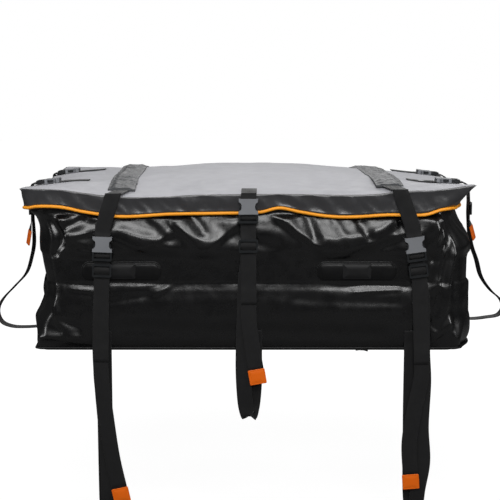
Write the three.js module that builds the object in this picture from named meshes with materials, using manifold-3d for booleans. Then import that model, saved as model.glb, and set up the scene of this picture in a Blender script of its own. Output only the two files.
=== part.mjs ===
// Roof cargo bag: a stuffed bag of coated fabric with a grey lid, a black lid skirt with orange piping over the
// zip, webbing tie-down straps with side-release buckles and tri-glides, and flat carry handles.
// Millimetres. X runs left to right, Y from front to back, Z up. The origin is the middle of the bag's flat bottom.
import * as THREE from "three";
import { mergeVertices } from "three/addons/utils/BufferGeometryUtils.js";
import Module from "manifold-3d";

const wasm = await Module();
wasm.setup();

// Driving dimensions of the bag
const LENGTH = 1118; // over the lid skirt, left to right
const WIDTH = 864; // over the lid skirt, front to back
const ZIP_HEIGHT = 370; // where the lid and the bag meet
const CROWN = 41; // rise of the stuffed lid over its rim
const SKIRT_STANDOFF = 14; // skirt's outer face in front of the bag's wall at the zip
const SHEET = 2.4; // skirt's doubled fabric
const BULGE = 15; // stuffed wall's greatest reach past the wall at the zip
const WALL_CORNER = 48; // corner radius of the bag's wall
const RIM_CORNER = 8; // corner radius of the lid's rim, which sticks out as a wing
const BOTTOM_CHAMFER = 14; // bottom edge turned in under the bag
const PIPING_RADIUS = 3.4;
const WELT_OUT = 5; // bottom seam's welt, outwards
const WELT_HIGH = 6;
const WELT_BASE = 5; // welt's lower edge over the bottom
const TAPE_THICK = 1.5; // zip tape with its teeth
const TAPE_HIGH = 18;
const GAP = 0.3; // between pieces that touch

// Driving dimensions of the webbing and its fittings
const WEB_WIDTH = 38;
const WEB_THICK = 1.8;
const LAYER = 2.2; // from one layer of webbing to the next
const FITTING_WALL = 4.4; // plastic beside the webbing in buckle and tri-glide
const SLOT_SLACK = 1.2; // slot's length past the webbing's width
const SOCKET_LENGTH = 38;
const SOCKET_THICK = 11;
const PLUG_LENGTH = 22;
const PLUG_THICK = 9;
const PLUG_TRAVEL = 28; // plug's way out of the socket
const ARM_LENGTH = 21;
const GLIDE_HEIGHT = 33;
const GLIDE_THICK = 4;
const TAB_THICK = 3.4;

const HALF_X = LENGTH / 2;
const HALF_Y = WIDTH / 2;
const WALL_X = HALF_X - SKIRT_STANDOFF;
const WALL_Y = HALF_Y - SKIRT_STANDOFF;
const SKIRT_IN = SKIRT_STANDOFF - SHEET;
const PIPING_OUT = SKIRT_STANDOFF - SHEET / 2;
const PIPING_FACE = PIPING_OUT + PIPING_RADIUS;
const REAR_LAYER = PIPING_FACE + GAP + WEB_THICK / 2 + 0.7; // middle of the webbing next to the bag
const SLOT_HALF = (WEB_WIDTH + SLOT_SLACK) / 2;
const FITTING_HALF = SLOT_HALF + FITTING_WALL;

const COLOURS = {
  black: { color: 0x0f0f0f, roughness: 0.35 },
  grey: { color: 0xb3b3b8, roughness: 0.55 },
  patch: { color: 0x707276, roughness: 0.55 },
  skirt: { color: 0x303134, roughness: 0.4 },
  piping: { color: 0xf59a35, roughness: 0.5 },
  orange: { color: 0xe56506, roughness: 0.45 },
  webbing: { color: 0x1b1b1b, roughness: 0.9 },
  plastic: { color: 0x202224, roughness: 0.3 },
  zip: { color: 0x161616, roughness: 0.7 },
};

const model = new THREE.Group();

// Adds a closed body to the model under its name and colour
function addPiece(name, geometry, look, parent = model) {
  const material = new THREE.MeshStandardMaterial({ ...COLOURS[look], metalness: 0 });
  const mesh = new THREE.Mesh(geometry, material);
  mesh.name = name;
  parent.add(mesh);
  return mesh;
}

// Curves and small helpers

// A smooth curve through [place, value] points, level beyond both ends
function curveThrough(points) {
  const slope = points.map((p, i) => {
    const before = points[Math.max(i - 1, 0)];
    const after = points[Math.min(i + 1, points.length - 1)];
    return (after[1] - before[1]) / (after[0] - before[0]);
  });
  slope[0] = 0;
  slope[points.length - 1] = 0;
  return (place) => {
    if (place <= points[0][0]) return points[0][1];
    if (place >= points.at(-1)[0]) return points.at(-1)[1];
    const i = points.findIndex((p) => p[0] > place) - 1;
    const span = points[i + 1][0] - points[i][0];
    const t = (place - points[i][0]) / span;
    const rise = points[i + 1][1] - points[i][1];
    const ease = t * t * (3 - 2 * t);
    const bend = span * (t * (1 - t) ** 2 * slope[i] - t * t * (1 - t) * slope[i + 1]);
    return points[i][1] + rise * ease + bend;
  };
}

const lerp = THREE.MathUtils.lerp;
const bell = (distance, width) => Math.exp(-((distance / width) ** 2));
const vec = (x, y, z) => new THREE.Vector3(x, y, z);

// Turns a triangle list so that its faces point out of the body
function closedBody(points, triangles) {
  let volume = 0;
  for (const [a, b, c] of triangles) volume += points[a].dot(points[b].clone().cross(points[c]));
  const faces = volume > 0 ? triangles : triangles.map(([a, b, c]) => [a, c, b]);
  const geometry = new THREE.BufferGeometry();
  const places = points.flatMap((p) => [p.x, p.y, p.z]);
  geometry.setAttribute("position", new THREE.Float32BufferAttribute(places, 3));
  geometry.setIndex(faces.flat());
  return geometry;
}

// Triangles that close a flat ring of points
function capTriangles(ring) {
  const normal = vec(0, 0, 0);
  ring.forEach((p, i) => normal.add(p.clone().cross(ring[(i + 1) % ring.length])));
  normal.normalize();
  const first = Math.abs(normal.z) > 0.9 ? vec(1, 0, 0) : vec(0, 0, 1);
  const across = first.addScaledVector(normal, -first.dot(normal)).normalize();
  const up = normal.clone().cross(across);
  const flat = ring.map((p) => new THREE.Vector2(p.dot(across), p.dot(up)));
  return THREE.ShapeUtils.triangulateShape(flat, []).map(([a, b, c]) => {
    const turn = flat[b].clone().sub(flat[a]).cross(flat[c].clone().sub(flat[a]));
    return turn > 0 ? [a, b, c] : [a, c, b];
  });
}

// A closed body through cross-sections that have the same number of points
function loft(sections, looped = false) {
  const size = sections[0].length;
  const triangles = [];
  const bands = looped ? sections.length : sections.length - 1;
  for (let s = 0; s < bands; s++) {
    const here = s * size;
    const next = ((s + 1) % sections.length) * size;
    for (let i = 0; i < size; i++) {
      const j = (i + 1) % size;
      triangles.push([here + i, here + j, next + j], [here + i, next + j, next + i]);
    }
  }
  if (!looped) {
    const last = (sections.length - 1) * size;
    capTriangles(sections[0]).forEach(([a, b, c]) => triangles.push([a, c, b]));
    capTriangles(sections.at(-1)).forEach(([a, b, c]) => triangles.push([last + a, last + b, last + c]));
  }
  return closedBody(sections.flat(), triangles);
}

// A plate: an outline in X and Z with holes, extruded through its thickness along Y
function plate(outline, front, back, curveSegments = 2) {
  const geometry = new THREE.ExtrudeGeometry(outline, { depth: back - front, bevelEnabled: false, curveSegments });
  geometry.rotateX(Math.PI / 2);
  geometry.translate(0, back, 0);
  return geometry;
}

// A box between two corners
function block(low, high) {
  const size = high.map((v, i) => v - low[i]);
  const geometry = new THREE.BoxGeometry(...size);
  geometry.translate(...low.map((v, i) => v + size[i] / 2));
  return geometry;
}

// Booleans on closed geometries
function solidOf(geometry) {
  const bare = geometry.clone();
  bare.deleteAttribute("normal");
  bare.deleteAttribute("uv");
  const merged = mergeVertices(bare, 1e-4);
  const vertProperties = new Float32Array(merged.attributes.position.array);
  const triVerts = new Uint32Array(merged.index.array);
  return new wasm.Manifold(new wasm.Mesh({ numProp: 3, vertProperties, triVerts }));
}

function geometryOf(solid) {
  const { vertProperties, triVerts } = solid.getMesh();
  const geometry = new THREE.BufferGeometry();
  geometry.setAttribute("position", new THREE.BufferAttribute(new Float32Array(vertProperties), 3));
  geometry.setIndex([...triVerts]);
  return geometry;
}

const join = (...geometries) => geometryOf(geometries.map(solidOf).reduce((a, b) => a.add(b)));
const cut = (body, ...tools) => geometryOf(tools.map(solidOf).reduce((a, b) => a.subtract(b), solidOf(body)));

// The bag's plan: stations round a rectangle, close together near the corners

const CORNER_STATIONS = [0, 12, 27, 45];
const LONG_STEPS = 22;
const SHORT_STEPS = 14;

function sideStations(half, steps) {
  const inner = half - CORNER_STATIONS.at(-1);
  const middle = Array.from({ length: steps + 1 }, (_, i) => lerp(-inner, inner, i / steps));
  const start = CORNER_STATIONS.slice(0, -1).map((d) => d - half);
  return [...start, ...middle, ...start.map((x) => -x).reverse()].map((x) => x / half);
}

const LONG = sideStations(HALF_X, LONG_STEPS);
const SHORT = sideStations(HALF_Y, SHORT_STEPS);

// Stations in order round the plan, as parts of the half length and half width
const [LAST_I, LAST_J] = [LONG.length - 1, SHORT.length - 1];
const STATIONS = [
  ...LONG.slice(0, -1).map((u, i) => ({ u, v: -1, i, j: 0, face: "front" })),
  ...SHORT.slice(0, -1).map((v, j) => ({ u: 1, v, i: LAST_I, j, face: "right" })),
  ...LONG.slice(1).reverse().map((u, k) => ({ u, v: 1, i: LAST_I - k, j: LAST_J, face: "back" })),
  ...SHORT.slice(1).reverse().map((v, k) => ({ u: -1, v, i: 0, j: LAST_J - k, face: "left" })),
];
const CORNER_REACH = 230; // past this far from every corner the wall at the zip runs straight
const isCornerStation = ({ u, v }) =>
  HALF_X * (1 - Math.abs(u)) <= CORNER_REACH && HALF_Y * (1 - Math.abs(v)) <= CORNER_REACH;

// Each face's direction, how far along it a station lies, and where its wall stands
const FACES = {
  front: { turn: 0, half: HALF_X, wall: WALL_Y },
  right: { turn: Math.PI / 2, half: HALF_Y, wall: WALL_X },
  back: { turn: Math.PI, half: HALF_X, wall: WALL_Y },
  left: { turn: -Math.PI / 2, half: HALF_Y, wall: WALL_X },
};
const ALONG = {
  front: ({ u }) => u * HALF_X,
  right: ({ v }) => v * HALF_Y,
  back: ({ u }) => -u * HALF_X,
  left: ({ v }) => -v * HALF_Y,
};

// The front right corner of the skirt is tucked in under its wing, and the left one a little
const RIGHT_TUCK = 26;
const LEFT_TUCK = 5;
const TUCK_REACH = 75;
const FRONT_CORNER = (u, v, side) => bell(Math.hypot((side - u) * HALF_X, (v + 1) * HALF_Y), TUCK_REACH);

// A place on the wall's plan, moved out by a distance, with its corners rounded
function wallPlace({ u, v }, out, radius = WALL_CORNER, tucked = 1) {
  const x = u * (WALL_X + out);
  const y = v * (WALL_Y + out);
  const cornerX = WALL_X + out - radius;
  const cornerY = WALL_Y + out - radius;
  const overX = Math.abs(x) - cornerX;
  const overY = Math.abs(y) - cornerY;
  const place = vec(x, y, 0);
  if (overX > 0 && overY > 0) {
    const reach = radius / Math.hypot(overX, overY);
    place.set(Math.sign(u) * (cornerX + overX * reach), Math.sign(v) * (cornerY + overY * reach), 0);
  }
  place.x -= tucked * (RIGHT_TUCK * FRONT_CORNER(u, v, 1) - LEFT_TUCK * FRONT_CORNER(u, v, -1));
  return place;
}

// A height along a face, from [place, rise over the zip] points
const overZip = (points) => curveThrough(points.map(([place, rise]) => [place, ZIP_HEIGHT + rise]));

// Heights of the lid's rim along each face, lower where it sags between the corners
const RIM = {
  front: overZip([
    [-HALF_X, 35], [-457, 32], [-397, 24], [-309, 15], [-220, 15], [-131, 20], [0, 22],
    [136, 22], [225, 20], [314, 22], [373, 29], [462, 32], [HALF_X, 43],
  ]),
  right: overZip([[-HALF_Y, 43], [-230, 29], [0, 21], [220, 18], [HALF_Y, 15]]),
  back: overZip([[-HALF_X, 15], [-300, 20], [0, 24], [300, 21], [HALF_X, 30]]),
  left: overZip([[-HALF_Y, 30], [-200, 22], [0, 19], [200, 24], [HALF_Y, 35]]),
};

// Heights of the skirt's lower edge along each face
const HEM = {
  front: overZip([
    [-HALF_X, -9], [-516, -4], [-457, -6], [-397, -18], [-309, -29], [-190, -23], [-72, -21], [30, -18],
    [77, -8], [130, -18], [195, -28], [254, -30], [343, -25], [432, -25], [491, -13], [HALF_X, -10],
  ]),
  right: overZip([[-HALF_Y, -10], [-250, -18], [0, -24], [230, -20], [HALF_Y, -16]]),
  back: overZip([[-HALF_X, -16], [-320, -23], [-60, -19], [210, -26], [HALF_X, -11]]),
  left: overZip([[-HALF_Y, -11], [-210, -21], [40, -25], [260, -19], [HALF_Y, -9]]),
};

// The lid

const rimHeight = (station, face) => RIM[face](ALONG[face](station));

// Long soft ridges and hollows that the load raises in the lid
const LID_FOLDS = [
  { from: [-520, -400], to: [-250, -150], width: 55, height: 5 },
  { from: [520, -400], to: [240, -160], width: 60, height: 6 },
  { from: [-510, 390], to: [-300, 190], width: 60, height: 4 },
  { from: [500, 380], to: [260, 170], width: 60, height: -7 },
  { from: [-180, -380], to: [140, -330], width: 60, height: -4 },
];

// Distance from a place to a fold's line, faded towards its ends
function foldHeight({ from, to, width, height }, a, b) {
  const [dx, dy] = [to[0] - from[0], to[1] - from[1]];
  const length = Math.hypot(dx, dy);
  const along = ((a - from[0]) * dx + (b - from[1]) * dy) / length;
  const off = ((a - from[0]) * dy - (b - from[1]) * dx) / length;
  const past = Math.max(0, -along, along - length);
  return height * bell(off, width) * bell(past, width * 1.5);
}

// Height of the lid's surface, from its rim's four curves and the crown of the load
function lidHeight(u, v) {
  const front = RIM.front(u * HALF_X);
  const back = RIM.back(-u * HALF_X);
  const left = RIM.left(-v * HALF_Y);
  const right = RIM.right(v * HALF_Y);
  const [s, t] = [(u + 1) / 2, (v + 1) / 2];
  const corners = lerp(
    lerp(RIM.front(-HALF_X), RIM.front(HALF_X), s),
    lerp(RIM.back(HALF_X), RIM.back(-HALF_X), s),
    t,
  );
  const rim = lerp(front, back, t) + lerp(left, right, s) - corners;
  const inside = (1 - Math.abs(u) ** 2.6) * (1 - Math.abs(v) ** 2.6);
  const folds = LID_FOLDS.reduce((sum, fold) => sum + foldHeight(fold, u * HALF_X, v * HALF_Y), 0);
  return rim + CROWN * inside + folds * Math.min(1, 3 * inside);
}

const LID_X = HALF_X - SHEET - GAP;
const LID_Y = HALF_Y - SHEET - GAP;

// Height of the faceted lid at a place, the higher of the ways to split a cell
function lidTop(x, y) {
  const u = THREE.MathUtils.clamp(x / LID_X, -1, 1);
  const v = THREE.MathUtils.clamp(y / LID_Y, -1, 1);
  const i = Math.max(0, LONG.findIndex((place) => place >= u) - 1);
  const j = Math.max(0, SHORT.findIndex((place) => place >= v) - 1);
  const s = (u - LONG[i]) / (LONG[i + 1] - LONG[i]);
  const t = (v - SHORT[j]) / (SHORT[j + 1] - SHORT[j]);
  const h = [0, 1].map((b) => [0, 1].map((a) => lidHeight(LONG[i + a], SHORT[j + b])));
  const falling = s > t ? lerp(h[0][0], h[0][1], s) + t * (h[1][1] - h[0][1])
    : lerp(h[0][0], h[1][0], t) + s * (h[1][1] - h[1][0]);
  const rising = s + t < 1 ? h[0][0] + s * (h[0][1] - h[0][0]) + t * (h[1][0] - h[0][0])
    : h[1][1] + (1 - s) * (h[1][0] - h[1][1]) + (1 - t) * (h[0][1] - h[1][1]);
  return Math.max(falling, rising);
}

const TAPE_TOP = ZIP_HEIGHT + TAPE_HIGH / 2;
const TAPE_BASE = ZIP_HEIGHT - TAPE_HIGH / 2;

// Square corners of the lid's top grid take the rim's small corner radius
function lidPlace(station) {
  return wallPlace(station, LID_X - WALL_X, RIM_CORNER, 0);
}

function makeLid() {
  const points = [];
  const triangles = [];
  const grid = SHORT.map((v) => LONG.map((u) => {
    const edge = Math.abs(u) === 1 || Math.abs(v) === 1;
    const place = edge ? lidPlace({ u, v }) : vec(u * LID_X, v * LID_Y, 0);
    place.z = lidHeight(u, v);
    return points.push(place) - 1;
  }));
  for (let j = 0; j < SHORT.length - 1; j++) {
    for (let i = 0; i < LONG.length - 1; i++) {
      const [a, b, c, d] = [grid[j][i], grid[j][i + 1], grid[j + 1][i + 1], grid[j + 1][i]];
      triangles.push([a, b, c], [a, c, d]);
    }
  }
  const rim = STATIONS.map(({ i, j }) => grid[j][i]);
  const ringAt = (height) => STATIONS.map((station) => points.push(wallPlace(station, 0).setZ(height)) - 1);
  const rings = [rim, ringAt(TAPE_TOP + 1), ringAt(ZIP_HEIGHT + GAP)];
  for (let r = 0; r < rings.length - 1; r++) {
    rings[r].forEach((a, i) => {
      const j = (i + 1) % STATIONS.length;
      const [b, c, d] = [rings[r][j], rings[r + 1][j], rings[r + 1][i]];
      triangles.push([a, c, b], [a, d, c]);
    });
  }
  const bottom = rings.at(-1);
  const cap = capTriangles(bottom.map((i) => points[i]));
  cap.forEach(([a, b, c]) => triangles.push([bottom[a], bottom[c], bottom[b]]));
  return closedBody(points, triangles);
}

addPiece("lid_panel", makeLid(), "grey");

// The stuffed bag under the zip

// The carry handles lie on a plain band of the wall
const HANDLE_BASE = 178;
const HANDLE_HIGH = 48;
const HANDLE_LENGTH = 196;
const HANDLE_PLACES = { left: -312, right: 268 };
const PLAIN_BAND = [HANDLE_BASE - 12, HANDLE_BASE + HANDLE_HIGH + 4];
const BAND_EASE = 10; // height over which the wall comes out to the plain band
const WELT_TOP = WELT_BASE + WELT_HIGH;
const WALL_TOP = TAPE_BASE - 15; // where the stuffed wall has come in to the zip

// Levels of the wall, and how far it reaches out at each, as a part of the bulge
const below = (part) => lerp(WELT_TOP + 1, PLAIN_BAND[0], part);
const above = (part) => lerp(PLAIN_BAND[1], WALL_TOP, part);
const BULGE_BY_HEIGHT = curveThrough([
  [WELT_BASE, 0.13], [WELT_TOP + 2, 0.13], [below(0.09), 0.5], [below(0.234), 0.82], [below(0.416), 1],
  [below(0.7), 1.04], [below(0.91), 0.9], [PLAIN_BAND[0], 0.3], [PLAIN_BAND[0] + BAND_EASE, 0.62],
  [PLAIN_BAND[1], 0.62], [above(0.215), 0.9], [above(0.517), 0.8], [above(0.793), 0.35], [WALL_TOP, 0],
]);
const LEVELS = [
  0, WELT_BASE - 1, ...[0, 0.09, 0.234, 0.416, 0.604, 0.78, 0.91].map(below), PLAIN_BAND[0],
  PLAIN_BAND[0] + BAND_EASE, PLAIN_BAND[1], ...[0.19, 0.397, 0.603, 0.793].map(above), WALL_TOP, ZIP_HEIGHT,
];

// The left front corner is pulled in where the load leaves it slack, by [part of the wall's height, distance]
const LEFT_PULL = curveThrough([[0, 17], [0.107, 19], [0.22, 20], [0.303, 36], [0.39, 46], [0.506, 44], [0.676, 34],
  [0.847, 33], [0.962, 15], [1, 0]]);
const LEFT_PULL_REACH = 110;

// Soft folds of each wall, as lines of a height and a width
const WALL_FOLDS = {
  front: [
    { from: [355, 330], to: [215, 255], width: 20, height: 6 },
    { from: [395, 325], to: [300, 240], width: 18, height: -8 },
    { from: [470, 335], to: [400, 250], width: 20, height: 6 },
    { from: [-470, 335], to: [-405, 255], width: 20, height: 6 },
    { from: [-420, 330], to: [-500, 250], width: 18, height: -7 },
    { from: [-300, 300], to: [-190, 262], width: 18, height: 6 },
    { from: [-170, 325], to: [-110, 250], width: 20, height: 5 },
    { from: [-60, 300], to: [60, 262], width: 22, height: -5 },
    { from: [130, 320], to: [180, 250], width: 20, height: -5 },
    { from: [455, 320], to: [500, 130], width: 18, height: 5 },
    { from: [480, 150], to: [440, 40], width: 20, height: -7 },
    { from: [-520, 44], to: [-410, 26], width: 12, height: 5 },
    { from: [-300, 60], to: [330, 44], width: 20, height: -4 },
  ],
  right: [
    { from: [-330, 330], to: [-260, 90], width: 26, height: 6 },
    { from: [-90, 310], to: [40, 240], width: 28, height: -7 },
    { from: [270, 320], to: [330, 120], width: 26, height: 6 },
  ],
  back: [
    { from: [-400, 330], to: [-250, 250], width: 22, height: 6 },
    { from: [60, 320], to: [190, 250], width: 22, height: -6 },
    { from: [330, 330], to: [420, 250], width: 22, height: 6 },
    { from: [-300, 60], to: [250, 48], width: 20, height: -4 },
  ],
  left: [
    { from: [-320, 120], to: [-250, 330], width: 26, height: 6 },
    { from: [60, 310], to: [-60, 240], width: 28, height: -7 },
    { from: [280, 310], to: [340, 110], width: 26, height: 6 },
  ],
};

// How far a face reaches out past the wall at the zip
function wallReach(face, along, height) {
  const edge = FACES[face].half - Math.abs(along);
  const slack = 0.3 + 0.7 * (1 - bell(edge, 70));
  let reach = BULGE * BULGE_BY_HEIGHT(height) * slack;
  const plain = height >= PLAIN_BAND[0] && height <= PLAIN_BAND[1];
  const free = height > WELT_TOP + 2 && height < WALL_TOP - 5 && !plain;
  if (free) reach += WALL_FOLDS[face].reduce((sum, fold) => sum + foldHeight(fold, along, height), 0);
  return Math.min(reach, BULGE * 1.05);
}

// The left end is pulled in most at its front corner
function leftPull(x, y, height) {
  const end = THREE.MathUtils.smoothstep(-x, WALL_X - LEFT_PULL_REACH, WALL_X);
  const towardsFront = lerp(1, 0.35, THREE.MathUtils.smoothstep(y, -WALL_Y, WALL_Y));
  return LEFT_PULL(height / WALL_TOP) * end * towardsFront;
}

function bodyPlace(station, height) {
  const bottom = height < WELT_BASE - 1 ? -BOTTOM_CHAMFER : 0;
  const reach = wallReach(station.face, ALONG[station.face](station), Math.max(height, WELT_BASE));
  const place = wallPlace(station, reach + bottom).setZ(height);
  place.x += leftPull(place.x, place.y, height);
  return place;
}

addPiece("bag_body", loft(LEVELS.map((height) => STATIONS.map((station) => bodyPlace(station, height)))), "black");

// Rings that run round the bag

// Welt of the bottom seam, on the wall just over the bottom
const WELT_WALL = LEVELS.filter((height) => height >= WELT_BASE - 1 && height <= WELT_TOP + 1.5);
function weltSection(station) {
  const wall = bodyPlace(station, WELT_WALL[0]);
  const wide = wallPlace(station, 1).sub(wallPlace(station, 0)).setZ(0);
  const at = (out, height) => wall.clone().addScaledVector(wide, out).setZ(height);
  return [at(GAP, WELT_BASE), at(WELT_OUT, WELT_BASE + 1), at(WELT_OUT, WELT_TOP - 1), at(GAP, WELT_TOP)];
}
addPiece("bottom_welt", loft(STATIONS.map(weltSection), true), "black");

// Zip tape over the line where the lid and the bag meet
function tapeSection(station) {
  const at = (out, height) => wallPlace(station, out).setZ(height);
  return [at(GAP, TAPE_BASE), at(GAP + TAPE_THICK, TAPE_BASE), at(GAP + TAPE_THICK, TAPE_TOP), at(GAP, TAPE_TOP)];
}
addPiece("zip_tape", loft(STATIONS.filter(isCornerStation).map(tapeSection), true), "zip");

// Skirt that hangs from the lid's rim, square at its wings above and round below
function skirtSection(station) {
  const top = rimHeight(station, station.face);
  const low = HEM[station.face](ALONG[station.face](station));
  const upper = (out) => wallPlace(station, out, RIM_CORNER, 0).setZ(top);
  const lower = (out) => wallPlace(station, out).setZ(low);
  return [upper(SKIRT_STANDOFF), lower(SKIRT_STANDOFF), lower(SKIRT_IN), upper(SKIRT_IN)];
}
addPiece("lid_skirt", loft(STATIONS.map(skirtSection), true), "skirt");

// Piping along the skirt's lower edge
const PIPING_SIDES = 5;
function pipingSection(station) {
  const low = HEM[station.face](ALONG[station.face](station)) - GAP - PIPING_RADIUS;
  return Array.from({ length: PIPING_SIDES }, (_, i) => {
    const angle = ((i + 0.5) / PIPING_SIDES) * 2 * Math.PI;
    const out = PIPING_OUT + PIPING_RADIUS * Math.cos(angle);
    return wallPlace(station, out).setZ(low + PIPING_RADIUS * Math.sin(angle));
  });
}
addPiece("skirt_piping", loft(STATIONS.map(pipingSection), true), "piping");

// Zip sliders, which meet at the middle of the front under the skirt
const SLIDER_WIDTH = 14;
const SLIDER_HIGH = 11;
const SLIDER_THICK = 5;
const PULL_LENGTH = 24;
const SLIDER_TRAVEL = 420;

function makeSlider() {
  const back = -(WALL_Y + GAP + TAPE_THICK + GAP);
  const body = new THREE.Shape();
  body.moveTo(-SLIDER_WIDTH / 2, ZIP_HEIGHT - SLIDER_HIGH / 2);
  body.lineTo(SLIDER_WIDTH / 2, ZIP_HEIGHT - SLIDER_HIGH / 2 + 2);
  body.lineTo(SLIDER_WIDTH / 2, ZIP_HEIGHT + SLIDER_HIGH / 2 - 2);
  body.lineTo(-SLIDER_WIDTH / 2, ZIP_HEIGHT + SLIDER_HIGH / 2);
  const pullTop = ZIP_HEIGHT + 1;
  const pullBase = pullTop - PULL_LENGTH;
  const pull = new THREE.Shape();
  pull.moveTo(-3, pullTop);
  pull.lineTo(3, pullTop);
  pull.lineTo(4.5, pullBase + 4);
  pull.absarc(0, pullBase + 4, 4.5, 0, Math.PI, true);
  const front = back - SLIDER_THICK;
  return join(plate(body, front + 1.6, back), plate(pull, front, front + 2));
}
for (const [name, side] of [["zip_slider_left", -1], ["zip_slider_right", 1]]) {
  const slider = addPiece(name, makeSlider(), "zip");
  slider.position.x = side * (SLIDER_WIDTH / 2 + 1);
}

// Carry handles: a welded patch with round corners and a flat sleeve over it

const PATCH_THICK = 1.5;
const SLEEVE_THICK = 3;
const SLEEVE_MARGIN = 4;
const HANDLE_CORNER = 16;

function roundedPanel(length, high, radius) {
  const [x, z] = [length / 2, high / 2];
  const shape = new THREE.Shape();
  shape.moveTo(-x + radius, -z);
  shape.lineTo(x - radius, -z);
  shape.absarc(x - radius, -z + radius, radius, -Math.PI / 2, 0, false);
  shape.lineTo(x, z - radius);
  shape.absarc(x - radius, z - radius, radius, 0, Math.PI / 2, false);
  shape.lineTo(-x + radius, z);
  shape.absarc(-x + radius, z - radius, radius, Math.PI / 2, Math.PI, false);
  shape.lineTo(-x, -z + radius);
  shape.absarc(-x + radius, -z + radius, radius, Math.PI, 1.5 * Math.PI, false);
  return shape;
}

const HANDLE_WALL = BULGE * BULGE_BY_HEIGHT(HANDLE_BASE);
const SLEEVE_HIGH = HANDLE_HIGH - 2 * SLEEVE_MARGIN;
const SLEEVE_LENGTH = HANDLE_LENGTH - 2 * SLEEVE_MARGIN;

function addHandle(face, side, fused) {
  const group = new THREE.Group();
  const { turn } = FACES[face];
  const along = side === "left" ? HANDLE_PLACES.left : HANDLE_PLACES.right;
  group.rotation.z = turn;
  const middle = HANDLE_BASE + HANDLE_HIGH / 2;
  const wall = -(WALL_Y + HANDLE_WALL);
  const patchBack = wall - GAP;
  const patchFront = patchBack - PATCH_THICK;
  const sleeveBack = fused ? patchFront + 0.2 : patchFront - GAP;
  const sleeveFront = patchFront - GAP - SLEEVE_THICK;
  const patch = plate(roundedPanel(HANDLE_LENGTH, HANDLE_HIGH, HANDLE_CORNER), patchFront, patchBack);
  const sleeve = plate(roundedPanel(SLEEVE_LENGTH, SLEEVE_HIGH, HANDLE_CORNER - SLEEVE_MARGIN), sleeveFront, sleeveBack);
  for (const part of [patch, sleeve]) part.translate(along, 0, middle);
  if (fused) {
    addPiece(`handle_${face}_${side}`, join(patch, sleeve), "black", group);
  } else {
    addPiece(`handle_patch_${side}`, patch, "black", group);
    addPiece(`handle_sleeve_${side}`, sleeve, "black", group);
  }
  model.add(group);
}
for (const side of ["left", "right"]) {
  addHandle("front", side, false);
  addHandle("back", side, true);
}

// Webbing

// Webbing along stops, each a place and the direction across the webbing there
function ribbon(stops, width = WEB_WIDTH, thick = WEB_THICK) {
  const places = stops.map((stop) => stop.at);
  const steps = places.slice(1).map((p, i) => p.clone().sub(places[i]).normalize());
  const sections = stops.map(({ at, across }, i) => {
    const before = steps[Math.max(i - 1, 0)];
    const after = steps[Math.min(i, steps.length - 1)];
    const tangent = before.clone().add(after).normalize();
    const mitre = 1 / Math.max(0.6, tangent.dot(after));
    const side = across.clone().addScaledVector(tangent, -across.dot(tangent)).normalize();
    const face = tangent.clone().cross(side);
    const corner = (a, b) =>
      at.clone().addScaledVector(side, (a * width) / 2).addScaledVector(face, (b * thick * mitre) / 2);
    return [corner(1, 1), corner(-1, 1), corner(-1, -1), corner(1, -1)];
  });
  return loft(sections);
}

// Stops along a smooth curve through hand-set points
function smoothStops(points, count, acrossAt) {
  const curve = new THREE.CatmullRomCurve3(points, false, "centripetal");
  return Array.from({ length: count + 1 }, (_, i) => {
    const t = i / count;
    return { at: curve.getPointAt(t), across: acrossAt(t) };
  });
}

// Buckle halves, in a frame with X across, Y into the bag and Z up towards the lid strap. Z is 0 at the mouth.

const MOUTH_HIGH = 7;
const WAIST_HALF = 16.6;
const MOUTH_WALL = 2;
const FLARE_BASE = 27;
const FRONT_SKIN = 2.6;
const BAR_THICK = 3.6;
const ARM_THICK = 3.8;
const ARM_DEEP = 5.6;
const GUIDE_HALF = 4;
const GUIDE_LENGTH = 18;
const BAR_MIDDLE = 32.5;
const FRONT_Y = -SOCKET_THICK / 2;
const LAYER_NEAR = SOCKET_THICK / 2 - 0.7; // webbing layer next to the bag, in the buckle's frame
const LAYER_NEXT = LAYER_NEAR - LAYER;

function socketOutline() {
  const half = FITTING_HALF;
  const shape = new THREE.Shape();
  shape.moveTo(-half, 0);
  shape.lineTo(half, 0);
  shape.lineTo(half, MOUTH_HIGH);
  shape.quadraticCurveTo(WAIST_HALF + 0.6, MOUTH_HIGH + 3, WAIST_HALF, MOUTH_HIGH + 8);
  shape.lineTo(WAIST_HALF, FLARE_BASE - 4);
  shape.quadraticCurveTo(WAIST_HALF, FLARE_BASE, half - 1, FLARE_BASE + 3);
  shape.lineTo(half, SOCKET_LENGTH);
  shape.lineTo(-half, SOCKET_LENGTH);
  shape.lineTo(-half + 1, FLARE_BASE + 3);
  shape.quadraticCurveTo(-WAIST_HALF, FLARE_BASE, -WAIST_HALF, FLARE_BASE - 4);
  shape.lineTo(-WAIST_HALF, MOUTH_HIGH + 8);
  shape.quadraticCurveTo(-WAIST_HALF - 0.6, MOUTH_HIGH + 3, -half, MOUTH_HIGH);
  return shape;
}

const ARM_OUT = FITTING_HALF - MOUTH_WALL - GAP;

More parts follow.
